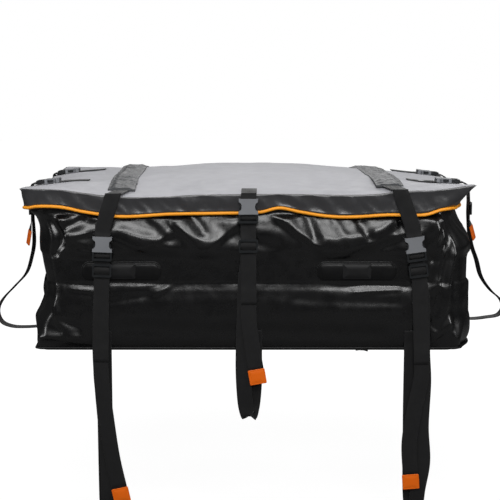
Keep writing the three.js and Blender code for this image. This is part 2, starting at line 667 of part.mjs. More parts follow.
function makeSocket() {
  const back = SOCKET_THICK / 2;
  const deep = ARM_DEEP / 2 + GAP;
  const mouth = block([-ARM_OUT - GAP, -deep, -1], [ARM_OUT + GAP, deep, MOUTH_HIGH + 3]);
  const armWay = (side) => {
    const inner = WAIST_HALF - 1.2;
    const low = Math.min(side * inner, side * (ARM_OUT + 6));
    const high = Math.max(side * inner, side * (ARM_OUT + 6));
    return block([low, -deep, MOUTH_HIGH], [high, deep, ARM_LENGTH + 2]);
  };
  const guideWay = block([-GUIDE_HALF - 0.5, -2.5, -1], [GUIDE_HALF + 0.5, 2.5, GUIDE_LENGTH + 1]);
  const webWay = block([-SLOT_HALF, FRONT_Y + FRONT_SKIN, FLARE_BASE - 1], [SLOT_HALF, back + 1, SOCKET_LENGTH + 1]);
  const shell = cut(plate(socketOutline(), FRONT_Y, back), mouth, armWay(-1), armWay(1), guideWay, webWay);
  const barBack = LAYER_NEAR - WEB_THICK / 2 - GAP;
  const bar = block(
    [-SLOT_HALF - 0.5, barBack - BAR_THICK, BAR_MIDDLE - BAR_THICK / 2],
    [SLOT_HALF + 0.5, barBack, BAR_MIDDLE + BAR_THICK / 2],
  );
  return join(shell, bar);
}

// Places of the webbing's bars in the plug, under the mouth
const PLUG_SLOT = 4.6;
const PLUG_BAR = 4.4;
const PLUG_BAR_THICK = 2.2;
const PLUG_HEAD = 2.4;
const UPPER_SLOT = [-PLUG_HEAD - PLUG_SLOT, -PLUG_HEAD];
const LOWER_SLOT = [UPPER_SLOT[0] - PLUG_BAR - PLUG_SLOT, UPPER_SLOT[0] - PLUG_BAR];
const PLUG_BAR_MIDDLE = UPPER_SLOT[0] - PLUG_BAR / 2;
const BAR_BACK = LAYER_NEXT - WEB_THICK / 2 - GAP;
const BAR_FRONT = BAR_BACK - PLUG_BAR_THICK;

function plugArm(side) {
  const shape = new THREE.Shape();
  const outer = side * ARM_OUT;
  const inner = side * (ARM_OUT - ARM_THICK);
  shape.moveTo(inner, -1);
  shape.lineTo(outer, -1);
  shape.lineTo(outer, ARM_LENGTH - 6);
  shape.quadraticCurveTo(outer, ARM_LENGTH - 1, inner, ARM_LENGTH);
  return plate(shape, -ARM_DEEP / 2, ARM_DEEP / 2);
}

function makePlug() {
  const half = FITTING_HALF;
  const base = new THREE.Shape();
  base.moveTo(-half + 2, -PLUG_LENGTH);
  base.lineTo(half - 2, -PLUG_LENGTH);
  base.quadraticCurveTo(half, -PLUG_LENGTH, half, -PLUG_LENGTH + 4);
  base.lineTo(half, -GAP);
  base.lineTo(-half, -GAP);
  base.lineTo(-half, -PLUG_LENGTH + 4);
  base.quadraticCurveTo(-half, -PLUG_LENGTH, -half + 2, -PLUG_LENGTH);
  const far = PLUG_THICK / 2 + 1;
  const slots = [UPPER_SLOT, LOWER_SLOT].map(([low, high]) => block([-SLOT_HALF, -far, low], [SLOT_HALF, far, high]));
  const rearWay = block([-SLOT_HALF, BAR_BACK, -PLUG_LENGTH - 1], [SLOT_HALF, far, UPPER_SLOT[0] + 1]);
  const frontWay = block([-SLOT_HALF, -far, LOWER_SLOT[0] + 1], [SLOT_HALF, BAR_FRONT, UPPER_SLOT[1] - 1]);
  const body = cut(plate(base, -PLUG_THICK / 2, PLUG_THICK / 2), ...slots, rearWay, frontWay);
  const guide = new THREE.Shape();
  guide.moveTo(-GUIDE_HALF, -1);
  guide.lineTo(GUIDE_HALF, -1);
  guide.lineTo(GUIDE_HALF - 1.5, GUIDE_LENGTH);
  guide.lineTo(1.5 - GUIDE_HALF, GUIDE_LENGTH);
  return join(body, plugArm(-1), plugArm(1), plate(guide, -2, 2));
}

// Tri-glide in the same frame, with its middle at Z 0. A fused one has its bar seated in the webbing.
const GLIDE_BAR = 5.5;
const GLIDE_BAR_THIN = 1.6; // how far the middle bar lies back from the frame's front
const GLIDE_SLOT = (GLIDE_HEIGHT - 3 * GLIDE_BAR) / 2;
const GLIDE_BACK = LAYER_NEXT - WEB_THICK / 2 - GAP;
const GLIDE_FRONT = GLIDE_BACK - GLIDE_THICK;
const FUSED = 0.5; // reach of a fused piece into the one that carries it

function makeGlide(fused) {
  const frame = roundedPanel(2 * FITTING_HALF - 1, GLIDE_HEIGHT, 4);
  const far = 8;
  const slots = [-1, 1].map((side) => {
    const middle = (side * (GLIDE_BAR + GLIDE_SLOT)) / 2;
    return block([-SLOT_HALF, -far, middle - GLIDE_SLOT / 2], [SLOT_HALF, far, middle + GLIDE_SLOT / 2]);
  });
  const barFront = GLIDE_FRONT + GLIDE_BAR_THIN - (fused ? FUSED : 0);
  const thinned = block([-SLOT_HALF, GLIDE_FRONT - 1, -GLIDE_BAR], [SLOT_HALF, barFront, GLIDE_BAR]);
  return cut(plate(frame, GLIDE_FRONT, GLIDE_BACK, 1), ...slots, thinned);
}

// Orange end tab, folded over the webbing's end, from its top edge down
const TAB_WIDTH = 42;
const TAB_LENGTH = 38;
const TAB_STANDOFF = 1.4; // tail's end stands this much further out, so that the tab clears the loop

function makeTab() {
  const tab = plate(roundedPanel(TAB_WIDTH, TAB_LENGTH, 3), -TAB_THICK / 2, TAB_THICK / 2, 1);
  return tab.translate(0, 0, -TAB_LENGTH / 2);
}

// How the webbing turns in the fittings, as [y, z] in their frame

const TURN_RADIUS = BAR_THICK / 2 + WEB_THICK / 2 + GAP + 0.2;
const TURN_Y = LAYER_NEAR - TURN_RADIUS;
const TURN_Z = BAR_MIDDLE - BAR_THICK / 2 + 0.4;
const SEWN_END = SOCKET_LENGTH + 30;

// The lid strap comes down in front of the socket's bar, turns round it and is sewn to its own back. Where the
// buckle sits close under the rim, the sewn end stops short of the room there.
function socketTurn(room) {
  const long = room > SEWN_END;
  return [
    ...(long ? [[LAYER_NEXT, SEWN_END - 10], [LAYER_NEXT, SOCKET_LENGTH + 8]] : []),
    [TURN_Y - TURN_RADIUS, SOCKET_LENGTH - 2],
    ...Array.from({ length: 5 }, (_, i) => {
      const angle = Math.PI * (1 + i / 4);
      return [TURN_Y + TURN_RADIUS * Math.cos(angle), TURN_Z + TURN_RADIUS * Math.sin(angle)];
    }),
    ...(long ? [[LAYER_NEAR, SOCKET_LENGTH + 4]] : []),
    [LAYER_NEAR, Math.min(SEWN_END, room)],
  ];
}

// The tie-down strap comes up behind the plug, over its bar and back down as the next layer
const OVER_BAR = BAR_FRONT - WEB_THICK / 2 - GAP;
const PLUG_TURN = [
  [LAYER_NEAR, PLUG_BAR_MIDDLE - 5],
  [LAYER_NEAR, PLUG_BAR_MIDDLE + 0.5],
  [LAYER_NEAR - 0.9, PLUG_BAR_MIDDLE + 3.1],
  [(LAYER_NEAR + OVER_BAR) / 2, PLUG_BAR_MIDDLE + 4.3],
  [OVER_BAR + 0.3, PLUG_BAR_MIDDLE + 3.3],
  [OVER_BAR, PLUG_BAR_MIDDLE + 1.2],
  [OVER_BAR, PLUG_BAR_MIDDLE - PLUG_BAR / 2 - 0.4],
  [OVER_BAR + 0.9, PLUG_BAR_MIDDLE - 3.5],
  [LAYER_NEXT - 0.7, PLUG_BAR_MIDDLE - 5.1],
  [LAYER_NEXT, PLUG_BAR_MIDDLE - 6.1],
  [LAYER_NEXT, -PLUG_LENGTH + 3],
];

// It passes the tri-glide over the middle bar and comes out at the back as the tail
const GLIDE_OVER = GLIDE_FRONT + GLIDE_BAR_THIN - WEB_THICK / 2 - GAP;
const GLIDE_EDGE = GLIDE_BAR / 2 + GLIDE_SLOT;
const GLIDE_TURN = [
  [LAYER_NEXT, GLIDE_EDGE - 0.2],
  [GLIDE_OVER, GLIDE_BAR / 2 + 0.6],
  [GLIDE_OVER, -GLIDE_BAR / 2 - 0.6],
  [LAYER_NEXT, 0.2 - GLIDE_EDGE],
  [LAYER_NEXT, -GLIDE_HEIGHT / 2 - 4],
];

// Settings of each strap set. Places are [along the face, height], seen from outside the face.
// rim: where the lid strap crosses the lid's rim. sewn: where it leaves the strip on the lid. mouth: the socket's
// mouth, with its height from the zip. slant: degrees that the buckle leans. glide: the tri-glide's middle, down
// from the mouth. hang: the hanging strap. loop: its lowest height. anchor: its seam on the bag. tailEnd: end of
// the doubled part. tail: the single part down to the tab. The rear straps are drawn short, out of sight.
const SETS = {
  front: {
    left: {
      rim: -330, sewn: -314, mouth: [-357, -119], slant: 2, glide: -46,
      hang: [[-363, 110], [-366, 0], [-362, -90], [-352, -230], [-349, -370]],
      loop: -426, anchor: -357, tailEnd: -23,
      tail: [[-364, -60], [-352, -170], [-338, -270], [-322, -345]],
    },
    centre: {
      rim: 2, sewn: 3, mouth: [1, -26], slant: 0, glide: -78,
      hang: [[-5, 190], [-9, 80], [-12, -30], [-10, -90]],
      loop: -163, anchor: 16, tailEnd: 121,
      tail: [[2, 90], [9, 25], [20, -42]],
    },
    right: {
      rim: 372, sewn: 352, mouth: [412, -120], slant: -8, glide: -46,
      hang: [[429, 130], [432, 0], [436, -70], [432, -190], [437, -280], [426, -350]],
      loop: -412, anchor: 406, tailEnd: -29,
      tail: [[430, -60], [413, -150], [402, -230], [406, -310]],
    },
  },
  back: {
    left: {
      rim: 336, sewn: 330, mouth: [345, -120], slant: -2, glide: -46,
      hang: [[352, 120], [355, 50], [354, -40], [350, -100]],
      loop: -172, anchor: 350, tailEnd: 66,
      tail: [[355, 38], [360, -10], [366, -60]],
    },
    centre: {
      rim: -2, sewn: -3, mouth: [-1, -52], slant: 0, glide: -70,
      hang: [[4, 190], [8, 80], [10, -40], [8, -110]],
      loop: -180, anchor: -12, tailEnd: 110,
      tail: [[-2, 80], [-6, 20], [-14, -50]],
    },
    right: {
      rim: -344, sewn: -335, mouth: [-356, -118], slant: 2, glide: -48,
      hang: [[-362, 120], [-365, 50], [-363, -45], [-358, -105]],
      loop: -176, anchor: -352, tailEnd: 60,
      tail: [[-365, 32], [-371, -20], [-376, -70]],
    },
  },
};

// A strap set's own frame: the face, with the bag's wall a known way out along -Y
function faceFrame(face) {
  const group = new THREE.Group();
  group.rotation.z = FACES[face].turn;
  group.updateMatrix();
  model.add(group);
  const inWorld = (place) => place.clone().applyMatrix4(group.matrix);
  return { group, inWorld, outwards: (out) => -(FACES[face].wall + out) };
}

const flatStops = (points) => points.map((at) => ({ at, across: vec(1, 0, 0) }));
const stopsInFrame = (points, frame) => {
  const across = vec(1, 0, 0).transformDirection(frame);
  return points.map(([y, z]) => ({ at: vec(0, y, z).applyMatrix4(frame), across }));
};

// Height of the faceted lid under a strip, seen from a face. Its slant is the run along X for each mm along Y.
function lidUnder(frame, x, y, width, slant = 0) {
  const samples = [-0.5, -0.25, 0, 0.25, 0.5].map((k) => {
    const at = frame.inWorld(vec(x + k * width, y - k * width * slant, 0));
    return lidTop(at.x, at.y);
  });
  return Math.max(...samples);
}

// Highest point of the rim under a strip that crosses it
const rimUnder = (face, x, width) => Math.max(...[-1, -0.5, 0, 0.5, 1].map((k) => RIM[face](x + k * width)));

// Lid strap from the socket up over the skirt and the rim, as stops in the face's frame, to a place on the lid
const STRIP_INSET = 48; // from the rim to the end of the strip that covers the webbing
const OVER_RIM = 2.1;
const RIM_ROOM = 10; // from the sewn end up to the strap's top on the rim

function lidStrapStops(face, frame, fitting, settings) {
  const { outwards } = frame;
  const top = rimUnder(face, settings.rim, WEB_WIDTH + 2) + OVER_RIM + WEB_THICK / 2;
  const room = top - RIM_ROOM - (ZIP_HEIGHT + settings.mouth[1]);
  const turn = stopsInFrame(socketTurn(room), fitting).reverse();
  const start = turn.at(-1).at;
  const hem = vec(lerp(start.x, settings.rim, 0.5), outwards(REAR_LAYER + LAYER - 0.6), lerp(start.z, top, 0.5));
  const skirtTop = outwards(SKIRT_STANDOFF + WEB_THICK / 2 + OVER_RIM);
  const edge = [
    vec(settings.rim, skirtTop, top - 4),
    vec(settings.rim, skirtTop + 0.2, top - 0.9),
    vec(settings.rim, skirtTop + 2.2, top + 0.2),
  ];
  const slant = (settings.sewn - settings.rim) / STRIP_INSET;
  const overLid = [6, 11, 15, 21, 28, 38, STRIP_INSET].map((inset) => {
    const x = lerp(settings.rim, settings.sewn, inset / STRIP_INSET);
    const y = outwards(SKIRT_STANDOFF) + inset;
    return vec(x, y, lidUnder(frame, x, y, WEB_WIDTH + 4, slant) + GAP + WEB_THICK / 2 + 0.5);
  });
  return [...turn, ...flatStops([...(start.z < top - 40 ? [hem] : []), ...edge, ...overLid])];
}

// A strap set on the front or the back: buckle, tri-glide, tie-down strap with its loop, tail and tab
function longSet(face, side, settings) {
  const fused = face === "back";
  const name = `${face}_${side}`;
  const frame = faceFrame(face);
  const { outwards, group } = frame;
  const fitting = new THREE.Group();
  fitting.position.set(settings.mouth[0], outwards(REAR_LAYER) - LAYER_NEAR, ZIP_HEIGHT + settings.mouth[1]);
  fitting.rotation.y = THREE.MathUtils.degToRad(settings.slant);
  fitting.updateMatrix();
  group.add(fitting);
  const glidePlace = new THREE.Matrix4().makeTranslation(0, 0, settings.glide).premultiply(fitting.matrix);

  addPiece(`buckle_socket_${name}`, makeSocket(), "plastic", fitting);
  addPiece(`buckle_plug_${name}`, makePlug(), "plastic", fitting);

  // From the seam on the wall, over the welt, round the loop and up behind the tri-glide
  const near = outwards(REAR_LAYER);
  const next = outwards(REAR_LAYER + LAYER);
  const { anchor, loop } = settings;
  const onWall = (height) => outwards(wallReach(face, anchor, height) + WEB_THICK / 2 + 1);
  const overWelt = outwards(BULGE * BULGE_BY_HEIGHT(WELT_BASE) + WELT_OUT + WEB_THICK / 2 + 1.4);
  const seam = [54, 40, 26].map((height) => vec(anchor, onWall(height), height));
  const hang = settings.hang.map(([x, z]) => vec(x, near, z)).reverse();
  const bottom = hang[0].x;
  const path = [
    vec(anchor, overWelt, WELT_TOP + 1),
    vec(anchor, overWelt, WELT_BASE - 9),
    vec(anchor, overWelt + 2, loop * 0.45),
    vec(lerp(anchor, bottom, 0.22), overWelt + 3, loop + 24),
    vec(lerp(anchor, bottom, 0.5), (overWelt + near) / 2, loop),
    vec(lerp(anchor, bottom, 0.8), near + 4, loop + 22),
    ...hang,
    ...stopsInFrame([[LAYER_NEAR, -GLIDE_HEIGHT / 2 - 12], [LAYER_NEAR, GLIDE_HEIGHT / 2 + 2]], glidePlace).map((s) => s.at),
  ];
  const plugTurn = stopsInFrame(PLUG_TURN, fitting.matrix);
  const glideTurn = stopsInFrame(GLIDE_TURN, glidePlace);
  const lean = plugTurn[0].across;
  const leaning = (t) => vec(1, 0, 0).lerp(lean, THREE.MathUtils.smoothstep(t, 0.8, 0.93));
  const climb = smoothStops(path, 22, leaning);

  // The doubled part of the tail, which ends over the single part
  const start = glideTurn.at(-1).at;
  const [tailX, tailZ] = settings.tail[0];
  const overlap = settings.tailEnd + 34;
  const lifted = next - WEB_THICK + 0.2;
  const doubled = flatStops([
    vec(lerp(start.x, tailX, 0.5), next, lerp(start.z, overlap, 0.5)),
    vec(lerp(start.x, tailX, 0.86), next - 0.2, overlap + 8),
    vec(lerp(start.x, tailX, 0.9), lifted, overlap - 2),
    vec(tailX, lifted, settings.tailEnd),
  ]);
  const strap = ribbon([...flatStops(seam), ...climb, ...plugTurn, ...glideTurn, ...doubled]);
  const last = settings.tail.length - 1;
  const tailPoints = [
    vec(lerp(start.x, tailX, 0.92), next, overlap - 4),
    vec(tailX, next, tailZ),
    ...settings.tail.slice(1).map(([x, z], i) => vec(x, next - (TAB_STANDOFF * (i + 1)) / last, z)),
  ];
  const tailStops = smoothStops(tailPoints, 6, () => vec(1, 0, 0));
  const tail = ribbon(tailStops);
  const end = tailStops.at(-1).at;
  const lead = end.clone().sub(tailStops.at(-2).at);
  const tab = makeTab().applyMatrix4(
    new THREE.Matrix4().makeRotationY(Math.atan2(-lead.x, -lead.z)).setPosition(end.x, end.y, end.z),
  );
  const towardsEnd = lead.normalize().multiplyScalar(fused ? -FUSED : GAP);
  tab.translate(...towardsEnd.toArray());
  const glide = makeGlide(fused).applyMatrix4(glidePlace);
  if (fused) {
    addPiece(`strap_${name}`, join(strap, tail, tab, glide), "webbing", group);
  } else {
    addPiece(`triglide_${name}`, glide, "plastic", group);
    addPiece(`strap_${name}`, join(strap, tail), "webbing", group);
    addPiece(`strap_tab_${name}`, tab, "orange", group);
  }
  const stops = lidStrapStops(face, frame, fitting.matrix, settings);
  return stops.map(({ at, across }) => ({
    at: frame.inWorld(at),
    across: across.clone().transformDirection(group.matrix),
  }));
}

const lidStops = {};
for (const [face, sides] of Object.entries(SETS)) {
  lidStops[face] = {};
  for (const [side, settings] of Object.entries(sides)) lidStops[face][side] = longSet(face, side, settings);
}

// Strips welded over the webbing, from front to back across the lid

const STRIP_WIDTH = 68;
const STRIP_SKIN = 1.5;
const STRIP_STEPS = 18;
const STRIP_START = 0.008;

function makeStripAndStrap(side) {
  const front = lidStops.front[side];
  const back = lidStops.back[side].map(({ at, across }) => ({ at, across: across.clone().negate() }));
  const [start, end] = [front.at(-1).at, back.at(-1).at];
  const under = [];
  const strip = [];
  for (let i = 0; i <= STRIP_STEPS; i++) {
    const t = lerp(STRIP_START, 1 - STRIP_START, i / STRIP_STEPS);
    const [x, y] = [lerp(start.x, end.x, t), lerp(start.y, end.y, t)];
    const heightOver = (width) => Math.max(...[-0.5, -0.25, 0, 0.25, 0.5].map((k) => lidTop(x + k * width, y)));
    const web = heightOver(WEB_WIDTH + 4) + GAP + 0.6;
    const base = Math.max(heightOver(STRIP_WIDTH) + GAP + 0.8, web);
    under.push(vec(x, y, web + WEB_THICK / 2));
    const roof = base + WEB_THICK + 2 * GAP;
    const [edge, way] = [STRIP_WIDTH / 2, WEB_WIDTH / 2 + 1];
    strip.push([
      vec(x - edge, y, base), vec(x - edge, y, base + 1), vec(x - way - 2, y, roof + STRIP_SKIN),
      vec(x + way + 2, y, roof + STRIP_SKIN), vec(x + edge, y, base + 1), vec(x + edge, y, base),
      vec(x + way, y, base), vec(x + way, y, roof), vec(x - way, y, roof), vec(x - way, y, base),
    ]);
  }
  addPiece(`lid_strap_${side}`, ribbon([...front, ...flatStops(under), ...back.reverse()]), "webbing");
  addPiece(`lid_strip_${side}`, loft(strip), "patch");
}
for (const side of ["left", "right"]) makeStripAndStrap(side);
for (const face of ["front", "back"]) addPiece(`lid_strap_centre_${face}`, ribbon(lidStops[face].centre), "webbing");

// Straps over the two ends. Their buckles lie on the lid, and their loops stand off the ends.

const END_PLACES = { front: -199, back: 199 }; // along Y
const END_MOUTH = 31; // socket's mouth in from the rim
const END_GLIDE_DOWN = 34; // tri-glide's middle under the zip
const END_GLIDE_HEIGHT = ZIP_HEIGHT - END_GLIDE_DOWN;
// out: how far the tri-glide stands off. flare: how far the tail does. tail: its end, down from the tri-glide.
// bow: each loop's places as [out from the wall, height]
const END_SETS = {
  left: {
    out: 0, flare: 0, tail: 59,
    bow: {
      front: [[17, 243], [24, 206], [38, 165], [71, 128], [103, 93], [116, 62], [106, 34], [80, 22], [40, 20]],
      back: [[17, 243], [20, 206], [26, 165], [37, 128], [48, 93], [53, 62], [48, 38], [36, 25], [24, 20]],
    },
  },
  right: {
    out: 12, flare: 9, tail: 46,
    bow: {
      front: [[40, 243], [55, 200], [68, 155], [94, 118], [121, 93], [128, 72], [116, 53], [84, 46], [44, 42]],
      back: [[34, 243], [44, 200], [56, 155], [68, 118], [76, 90], [78, 70], [70, 52], [52, 43], [36, 42]],
    },
  },
};

function endSet(face, place) {
  const settings = END_SETS[face];
  const name = `${face}_${place}`;
  const frame = faceFrame(face);
  const { outwards, group } = frame;
  const x = face === "left" ? -END_PLACES[place] : END_PLACES[place];
  const rimY = outwards(SKIRT_STANDOFF);

  // The buckle lies on the lid, tilted as the lid is
  const fitting = new THREE.Group();
  const mouthY = rimY + END_MOUTH;
  const low = lidUnder(frame, x, mouthY - PLUG_LENGTH, WEB_WIDTH);
  const high = lidUnder(frame, x, mouthY + SEWN_END, WEB_WIDTH);
  fitting.rotation.x = -Math.PI / 2 + Math.atan2(high - low, SEWN_END + PLUG_LENGTH);
  fitting.position.set(x, mouthY, 0);
  fitting.updateMatrix();
  const clear = LAYER_NEAR + WEB_THICK / 2 + 0.4;
  let lift = -Infinity;
  for (const side of [-FITTING_HALF, 0, FITTING_HALF]) {
    for (let along = -PLUG_LENGTH - 2; along <= SEWN_END; along += 6) {
      const at = vec(side, clear, along).applyMatrix4(fitting.matrix);
      lift = Math.max(lift, lidUnder(frame, at.x, at.y, 0) - at.z);
    }
  }
  fitting.position.z = lift;
  fitting.updateMatrix();
  group.add(fitting);

  // Short strap sewn to the lid, fused with the socket that it holds
  const anchorEnd = vec(0, LAYER_NEAR, SEWN_END).applyMatrix4(fitting.matrix);
  const anchorStops = stopsInFrame([[LAYER_NEAR - FUSED, BAR_MIDDLE], [LAYER_NEAR, SOCKET_LENGTH + 6]], fitting.matrix);
  const sewn = flatStops([20, 44].map((run) => {
    const y = anchorEnd.y + run;
    return vec(x, y, lidUnder(frame, x, y, WEB_WIDTH + 2) + WEB_THICK / 2 + GAP + 0.3);
  }));
  const onLid = stopsInFrame([[LAYER_NEAR, SEWN_END - 12]], fitting.matrix);
  const shortStrap = ribbon([...anchorStops, ...onLid, ...sewn]);
  const inFitting = shortStrap.applyMatrix4(fitting.matrix.clone().invert());
  addPiece(`buckle_socket_${name}`, join(makeSocket(), inFitting), "plastic", fitting);
  addPiece(`buckle_plug_${name}`, makePlug(), "plastic", fitting);

  // The tri-glide hangs below the rim on the end
  const glideOut = REAR_LAYER + settings.out;
  const glidePlace = new THREE.Matrix4().makeTranslation(x, outwards(glideOut) - LAYER_NEAR, END_GLIDE_HEIGHT);
  const top = rimUnder(face, x, WEB_WIDTH + 2) + OVER_RIM + WEB_THICK / 2 + 0.3;
  const overRim = (layer) => [
    vec(x, rimY + 1, top + layer),
    vec(x, rimY - 2.2 - layer * 0.8, top - 1.6 + layer * 0.8),
    vec(x, lerp(rimY, outwards(glideOut), 0.8) - 1 - layer, top - 7),
    vec(x, outwards(glideOut) - layer, END_GLIDE_HEIGHT + GLIDE_HEIGHT / 2 + 4),
  ];

  // From the seam on the end's wall, out round the loop, up the end and over the rim to the plug
  const wallAt = (height) => {
    const wall = vec(x, outwards(wallReach(face, x, height)), height);
    const world = frame.inWorld(wall);
    return wall.y + leftPull(world.x, world.y, height);
  };
  const places = settings.bow[place];
  const seamHeight = places.at(-1)[1];
  const seam = [40, 26, 10].map((up) => vec(x, wallAt(seamHeight + up) - WEB_THICK / 2 - 1.2, seamHeight + up));
  const bow = places.map(([out, z]) => vec(x, outwards(out), z)).reverse();
  const near = [vec(x, outwards(glideOut), END_GLIDE_HEIGHT - GLIDE_HEIGHT / 2 - 6), ...overRim(0).reverse()];
  const climb = smoothStops([
    vec(x, seam.at(-1).y - 1.5, seamHeight + 3),
    ...bow, ...near.slice(0, 2),
  ], 20, () => vec(1, 0, 0));
  const plugTurn = stopsInFrame(PLUG_TURN, fitting.matrix);
  const pastPlug = stopsInFrame([[LAYER_NEXT, -PLUG_LENGTH - 1.5]], fitting.matrix);
  const down = [...pastPlug, ...flatStops(overRim(LAYER))];
  const glideTurn = stopsInFrame(GLIDE_TURN, glidePlace);
  const tailTop = glideTurn.at(-1).at;
  const tailEnd = vec(x, tailTop.y - TAB_STANDOFF - settings.flare, END_GLIDE_HEIGHT - settings.tail);
  const tailMiddle = vec(x, lerp(tailTop.y, tailEnd.y, 0.45), lerp(tailTop.z, tailEnd.z, 0.5));
  const lead = tailEnd.clone().sub(tailMiddle).normalize();
  const strap = ribbon([
    ...flatStops(seam), ...climb, ...flatStops(near.slice(2)), ...plugTurn, ...down, ...glideTurn,
    ...flatStops([tailMiddle, tailEnd]),
  ]);
  const glide = makeGlide(true).applyMatrix4(glidePlace);
  addPiece(`strap_${name}`, join(strap, glide), "webbing", group);
  const tab = makeTab().rotateX(Math.atan2(lead.y, -lead.z));
  tab.translate(...tailEnd.addScaledVector(lead, GAP).toArray());
  addPiece(`strap_tab_${name}`, tab, "orange", group);
}
for (const face of ["left", "right"]) {
  for (const place of ["front", "back"]) endSet(face, place);
}

export default model;
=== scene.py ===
import math

import bpy
import numpy as np
from mathutils import Matrix, Vector, noise


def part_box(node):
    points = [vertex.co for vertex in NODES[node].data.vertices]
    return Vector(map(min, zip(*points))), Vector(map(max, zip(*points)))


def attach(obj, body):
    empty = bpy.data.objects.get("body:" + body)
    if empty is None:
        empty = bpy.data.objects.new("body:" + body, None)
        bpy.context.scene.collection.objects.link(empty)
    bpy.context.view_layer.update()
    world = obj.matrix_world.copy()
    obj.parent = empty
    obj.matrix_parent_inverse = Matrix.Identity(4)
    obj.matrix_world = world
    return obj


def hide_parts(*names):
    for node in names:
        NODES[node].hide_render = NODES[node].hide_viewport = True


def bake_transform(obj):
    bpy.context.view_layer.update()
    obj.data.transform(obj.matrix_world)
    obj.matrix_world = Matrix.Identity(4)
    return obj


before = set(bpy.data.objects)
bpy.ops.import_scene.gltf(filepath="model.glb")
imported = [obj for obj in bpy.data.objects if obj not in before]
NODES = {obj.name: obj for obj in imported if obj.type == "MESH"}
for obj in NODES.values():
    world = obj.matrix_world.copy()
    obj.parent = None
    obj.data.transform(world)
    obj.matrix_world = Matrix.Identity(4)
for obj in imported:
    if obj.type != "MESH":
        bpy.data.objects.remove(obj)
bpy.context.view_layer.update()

# Sizes in millimetres, as in the part's source

LENGTH = 1118
WIDTH = 864
ZIP_HEIGHT = 370
CROWN = 41
SKIRT_STANDOFF = 14
SHEET = 2.4
BULGE = 15
WALL_CORNER = 48
RIM_CORNER = 8
BOTTOM_CHAMFER = 14
PIPING_RADIUS = 3.4
WELT_OUT = 5
WELT_BASE = 5
WELT_TOP = 11
TAPE_THICK = 1.5
TAPE_HIGH = 18
GAP = 0.3
WEB_WIDTH = 38
WEB_THICK = 1.8
LAYER = 2.2
SOCKET_LENGTH = 38
SOCKET_THICK = 11
PLUG_LENGTH = 22
GLIDE_HEIGHT = 33
GLIDE_THICK = 4

# The lid is crowned this much more than in the part's source
FULLER = 9

HALF_X = LENGTH / 2
HALF_Y = WIDTH / 2
WALL_X = HALF_X - SKIRT_STANDOFF
WALL_Y = HALF_Y - SKIRT_STANDOFF
SKIRT_IN = SKIRT_STANDOFF - SHEET
PIPING_OUT = SKIRT_STANDOFF - SHEET / 2
REAR_LAYER = PIPING_OUT + PIPING_RADIUS + GAP + WEB_THICK / 2 + 0.7
TAPE_TOP = ZIP_HEIGHT + TAPE_HIGH / 2
TAPE_BASE = ZIP_HEIGHT - TAPE_HIGH / 2
LID_X = HALF_X - SHEET - GAP
LID_Y = HALF_Y - SHEET - GAP


# Small helpers


def lerp(a, b, t):
    return a + (b - a) * t


def bell(distance, width):
    return np.exp(-((distance / width) ** 2))


def smoothstep(x, low, high):
    t = np.clip((x - low) / (high - low), 0, 1)
    return t * t * (3 - 2 * t)


def plateau(x, rise, fall):
    """1 between two slopes, each given as its start and its end, and 0 outside them."""
    return smoothstep(x, *rise) * (1 - smoothstep(x, *fall))


def vec(x, y, z):
    return np.array([x, y, z], float)


def curve_through(points):
    px, py = np.array(points, float).T
    slope = np.zeros_like(px)
    slope[1:-1] = (py[2:] - py[:-2]) / (px[2:] - px[:-2])

    def value(place):
        place = np.clip(place, px[0], px[-1])
        i = np.clip(np.searchsorted(px, place, side="right") - 1, 0, len(px) - 2)
        span = px[i + 1] - px[i]
        t = (place - px[i]) / span
        bend = span * (t * (1 - t) ** 2 * slope[i] - t * t * (1 - t) * slope[i + 1])
        return py[i] + (py[i + 1] - py[i]) * t * t * (3 - 2 * t) + bend

    return value


def value_noise(points, scale, seed):
    """Smooth noise at points, an array of places in millimetres."""
    shape = points.shape[:-1]
    flat = points.reshape(-1, 3) / scale + seed * 17.3
    values = [noise.noise(p, noise_basis="PERLIN_ORIGINAL") for p in flat]
    return np.array(values).reshape(shape)


# Stations round the plan

CORNER_STEPS = [0, 3, 6, 9.5, 13, 17, 21.5, 26, 31, 36, 42, 48, 54]


def side_stations(half, step):
    inner = half - CORNER_STEPS[-1]
    middle = np.linspace(-inner, inner, int(2 * inner / step) + 1)
    start = np.array(CORNER_STEPS[:-1]) - half
    return np.concatenate([start, middle, -start[::-1]]) / half


LONG = side_stations(HALF_X, 5)
SHORT = side_stations(HALF_Y, 5.5)
FACES = ["front", "right", "back", "left"]
WALLS = {"front": WALL_Y, "right": WALL_X, "back": WALL_Y, "left": WALL_X}
HALVES = {"front": HALF_X, "right": HALF_Y, "back": HALF_X, "left": HALF_Y}
TURNS = {"front": 0, "right": math.pi / 2, "back": math.pi, "left": -math.pi / 2}

STATION_U = np.concatenate([LONG[:-1], np.ones(len(SHORT) - 1), LONG[:0:-1], -np.ones(len(SHORT) - 1)])
STATION_V = np.concatenate([-np.ones(len(LONG) - 1), SHORT[:-1], np.ones(len(LONG) - 1), SHORT[:0:-1]])
STATION_FACE = np.repeat([0, 1, 2, 3], [len(LONG) - 1, len(SHORT) - 1] * 2)
STATION_ALONG = np.choose(
    STATION_FACE,
    [STATION_U * HALF_X, STATION_V * HALF_Y, -STATION_U * HALF_X, -STATION_V * HALF_Y],
)

# The front corners are tucked in under the skirt's wings, the right one most near the zip. The corner's radius
# shrinks towards the foot
RIGHT_TUCK = 46
LOW_TUCK = 26
LEFT_TUCK = 5
TUCK_REACH = 75
TUCK_BACK = 160
FOOT_CORNER = 15


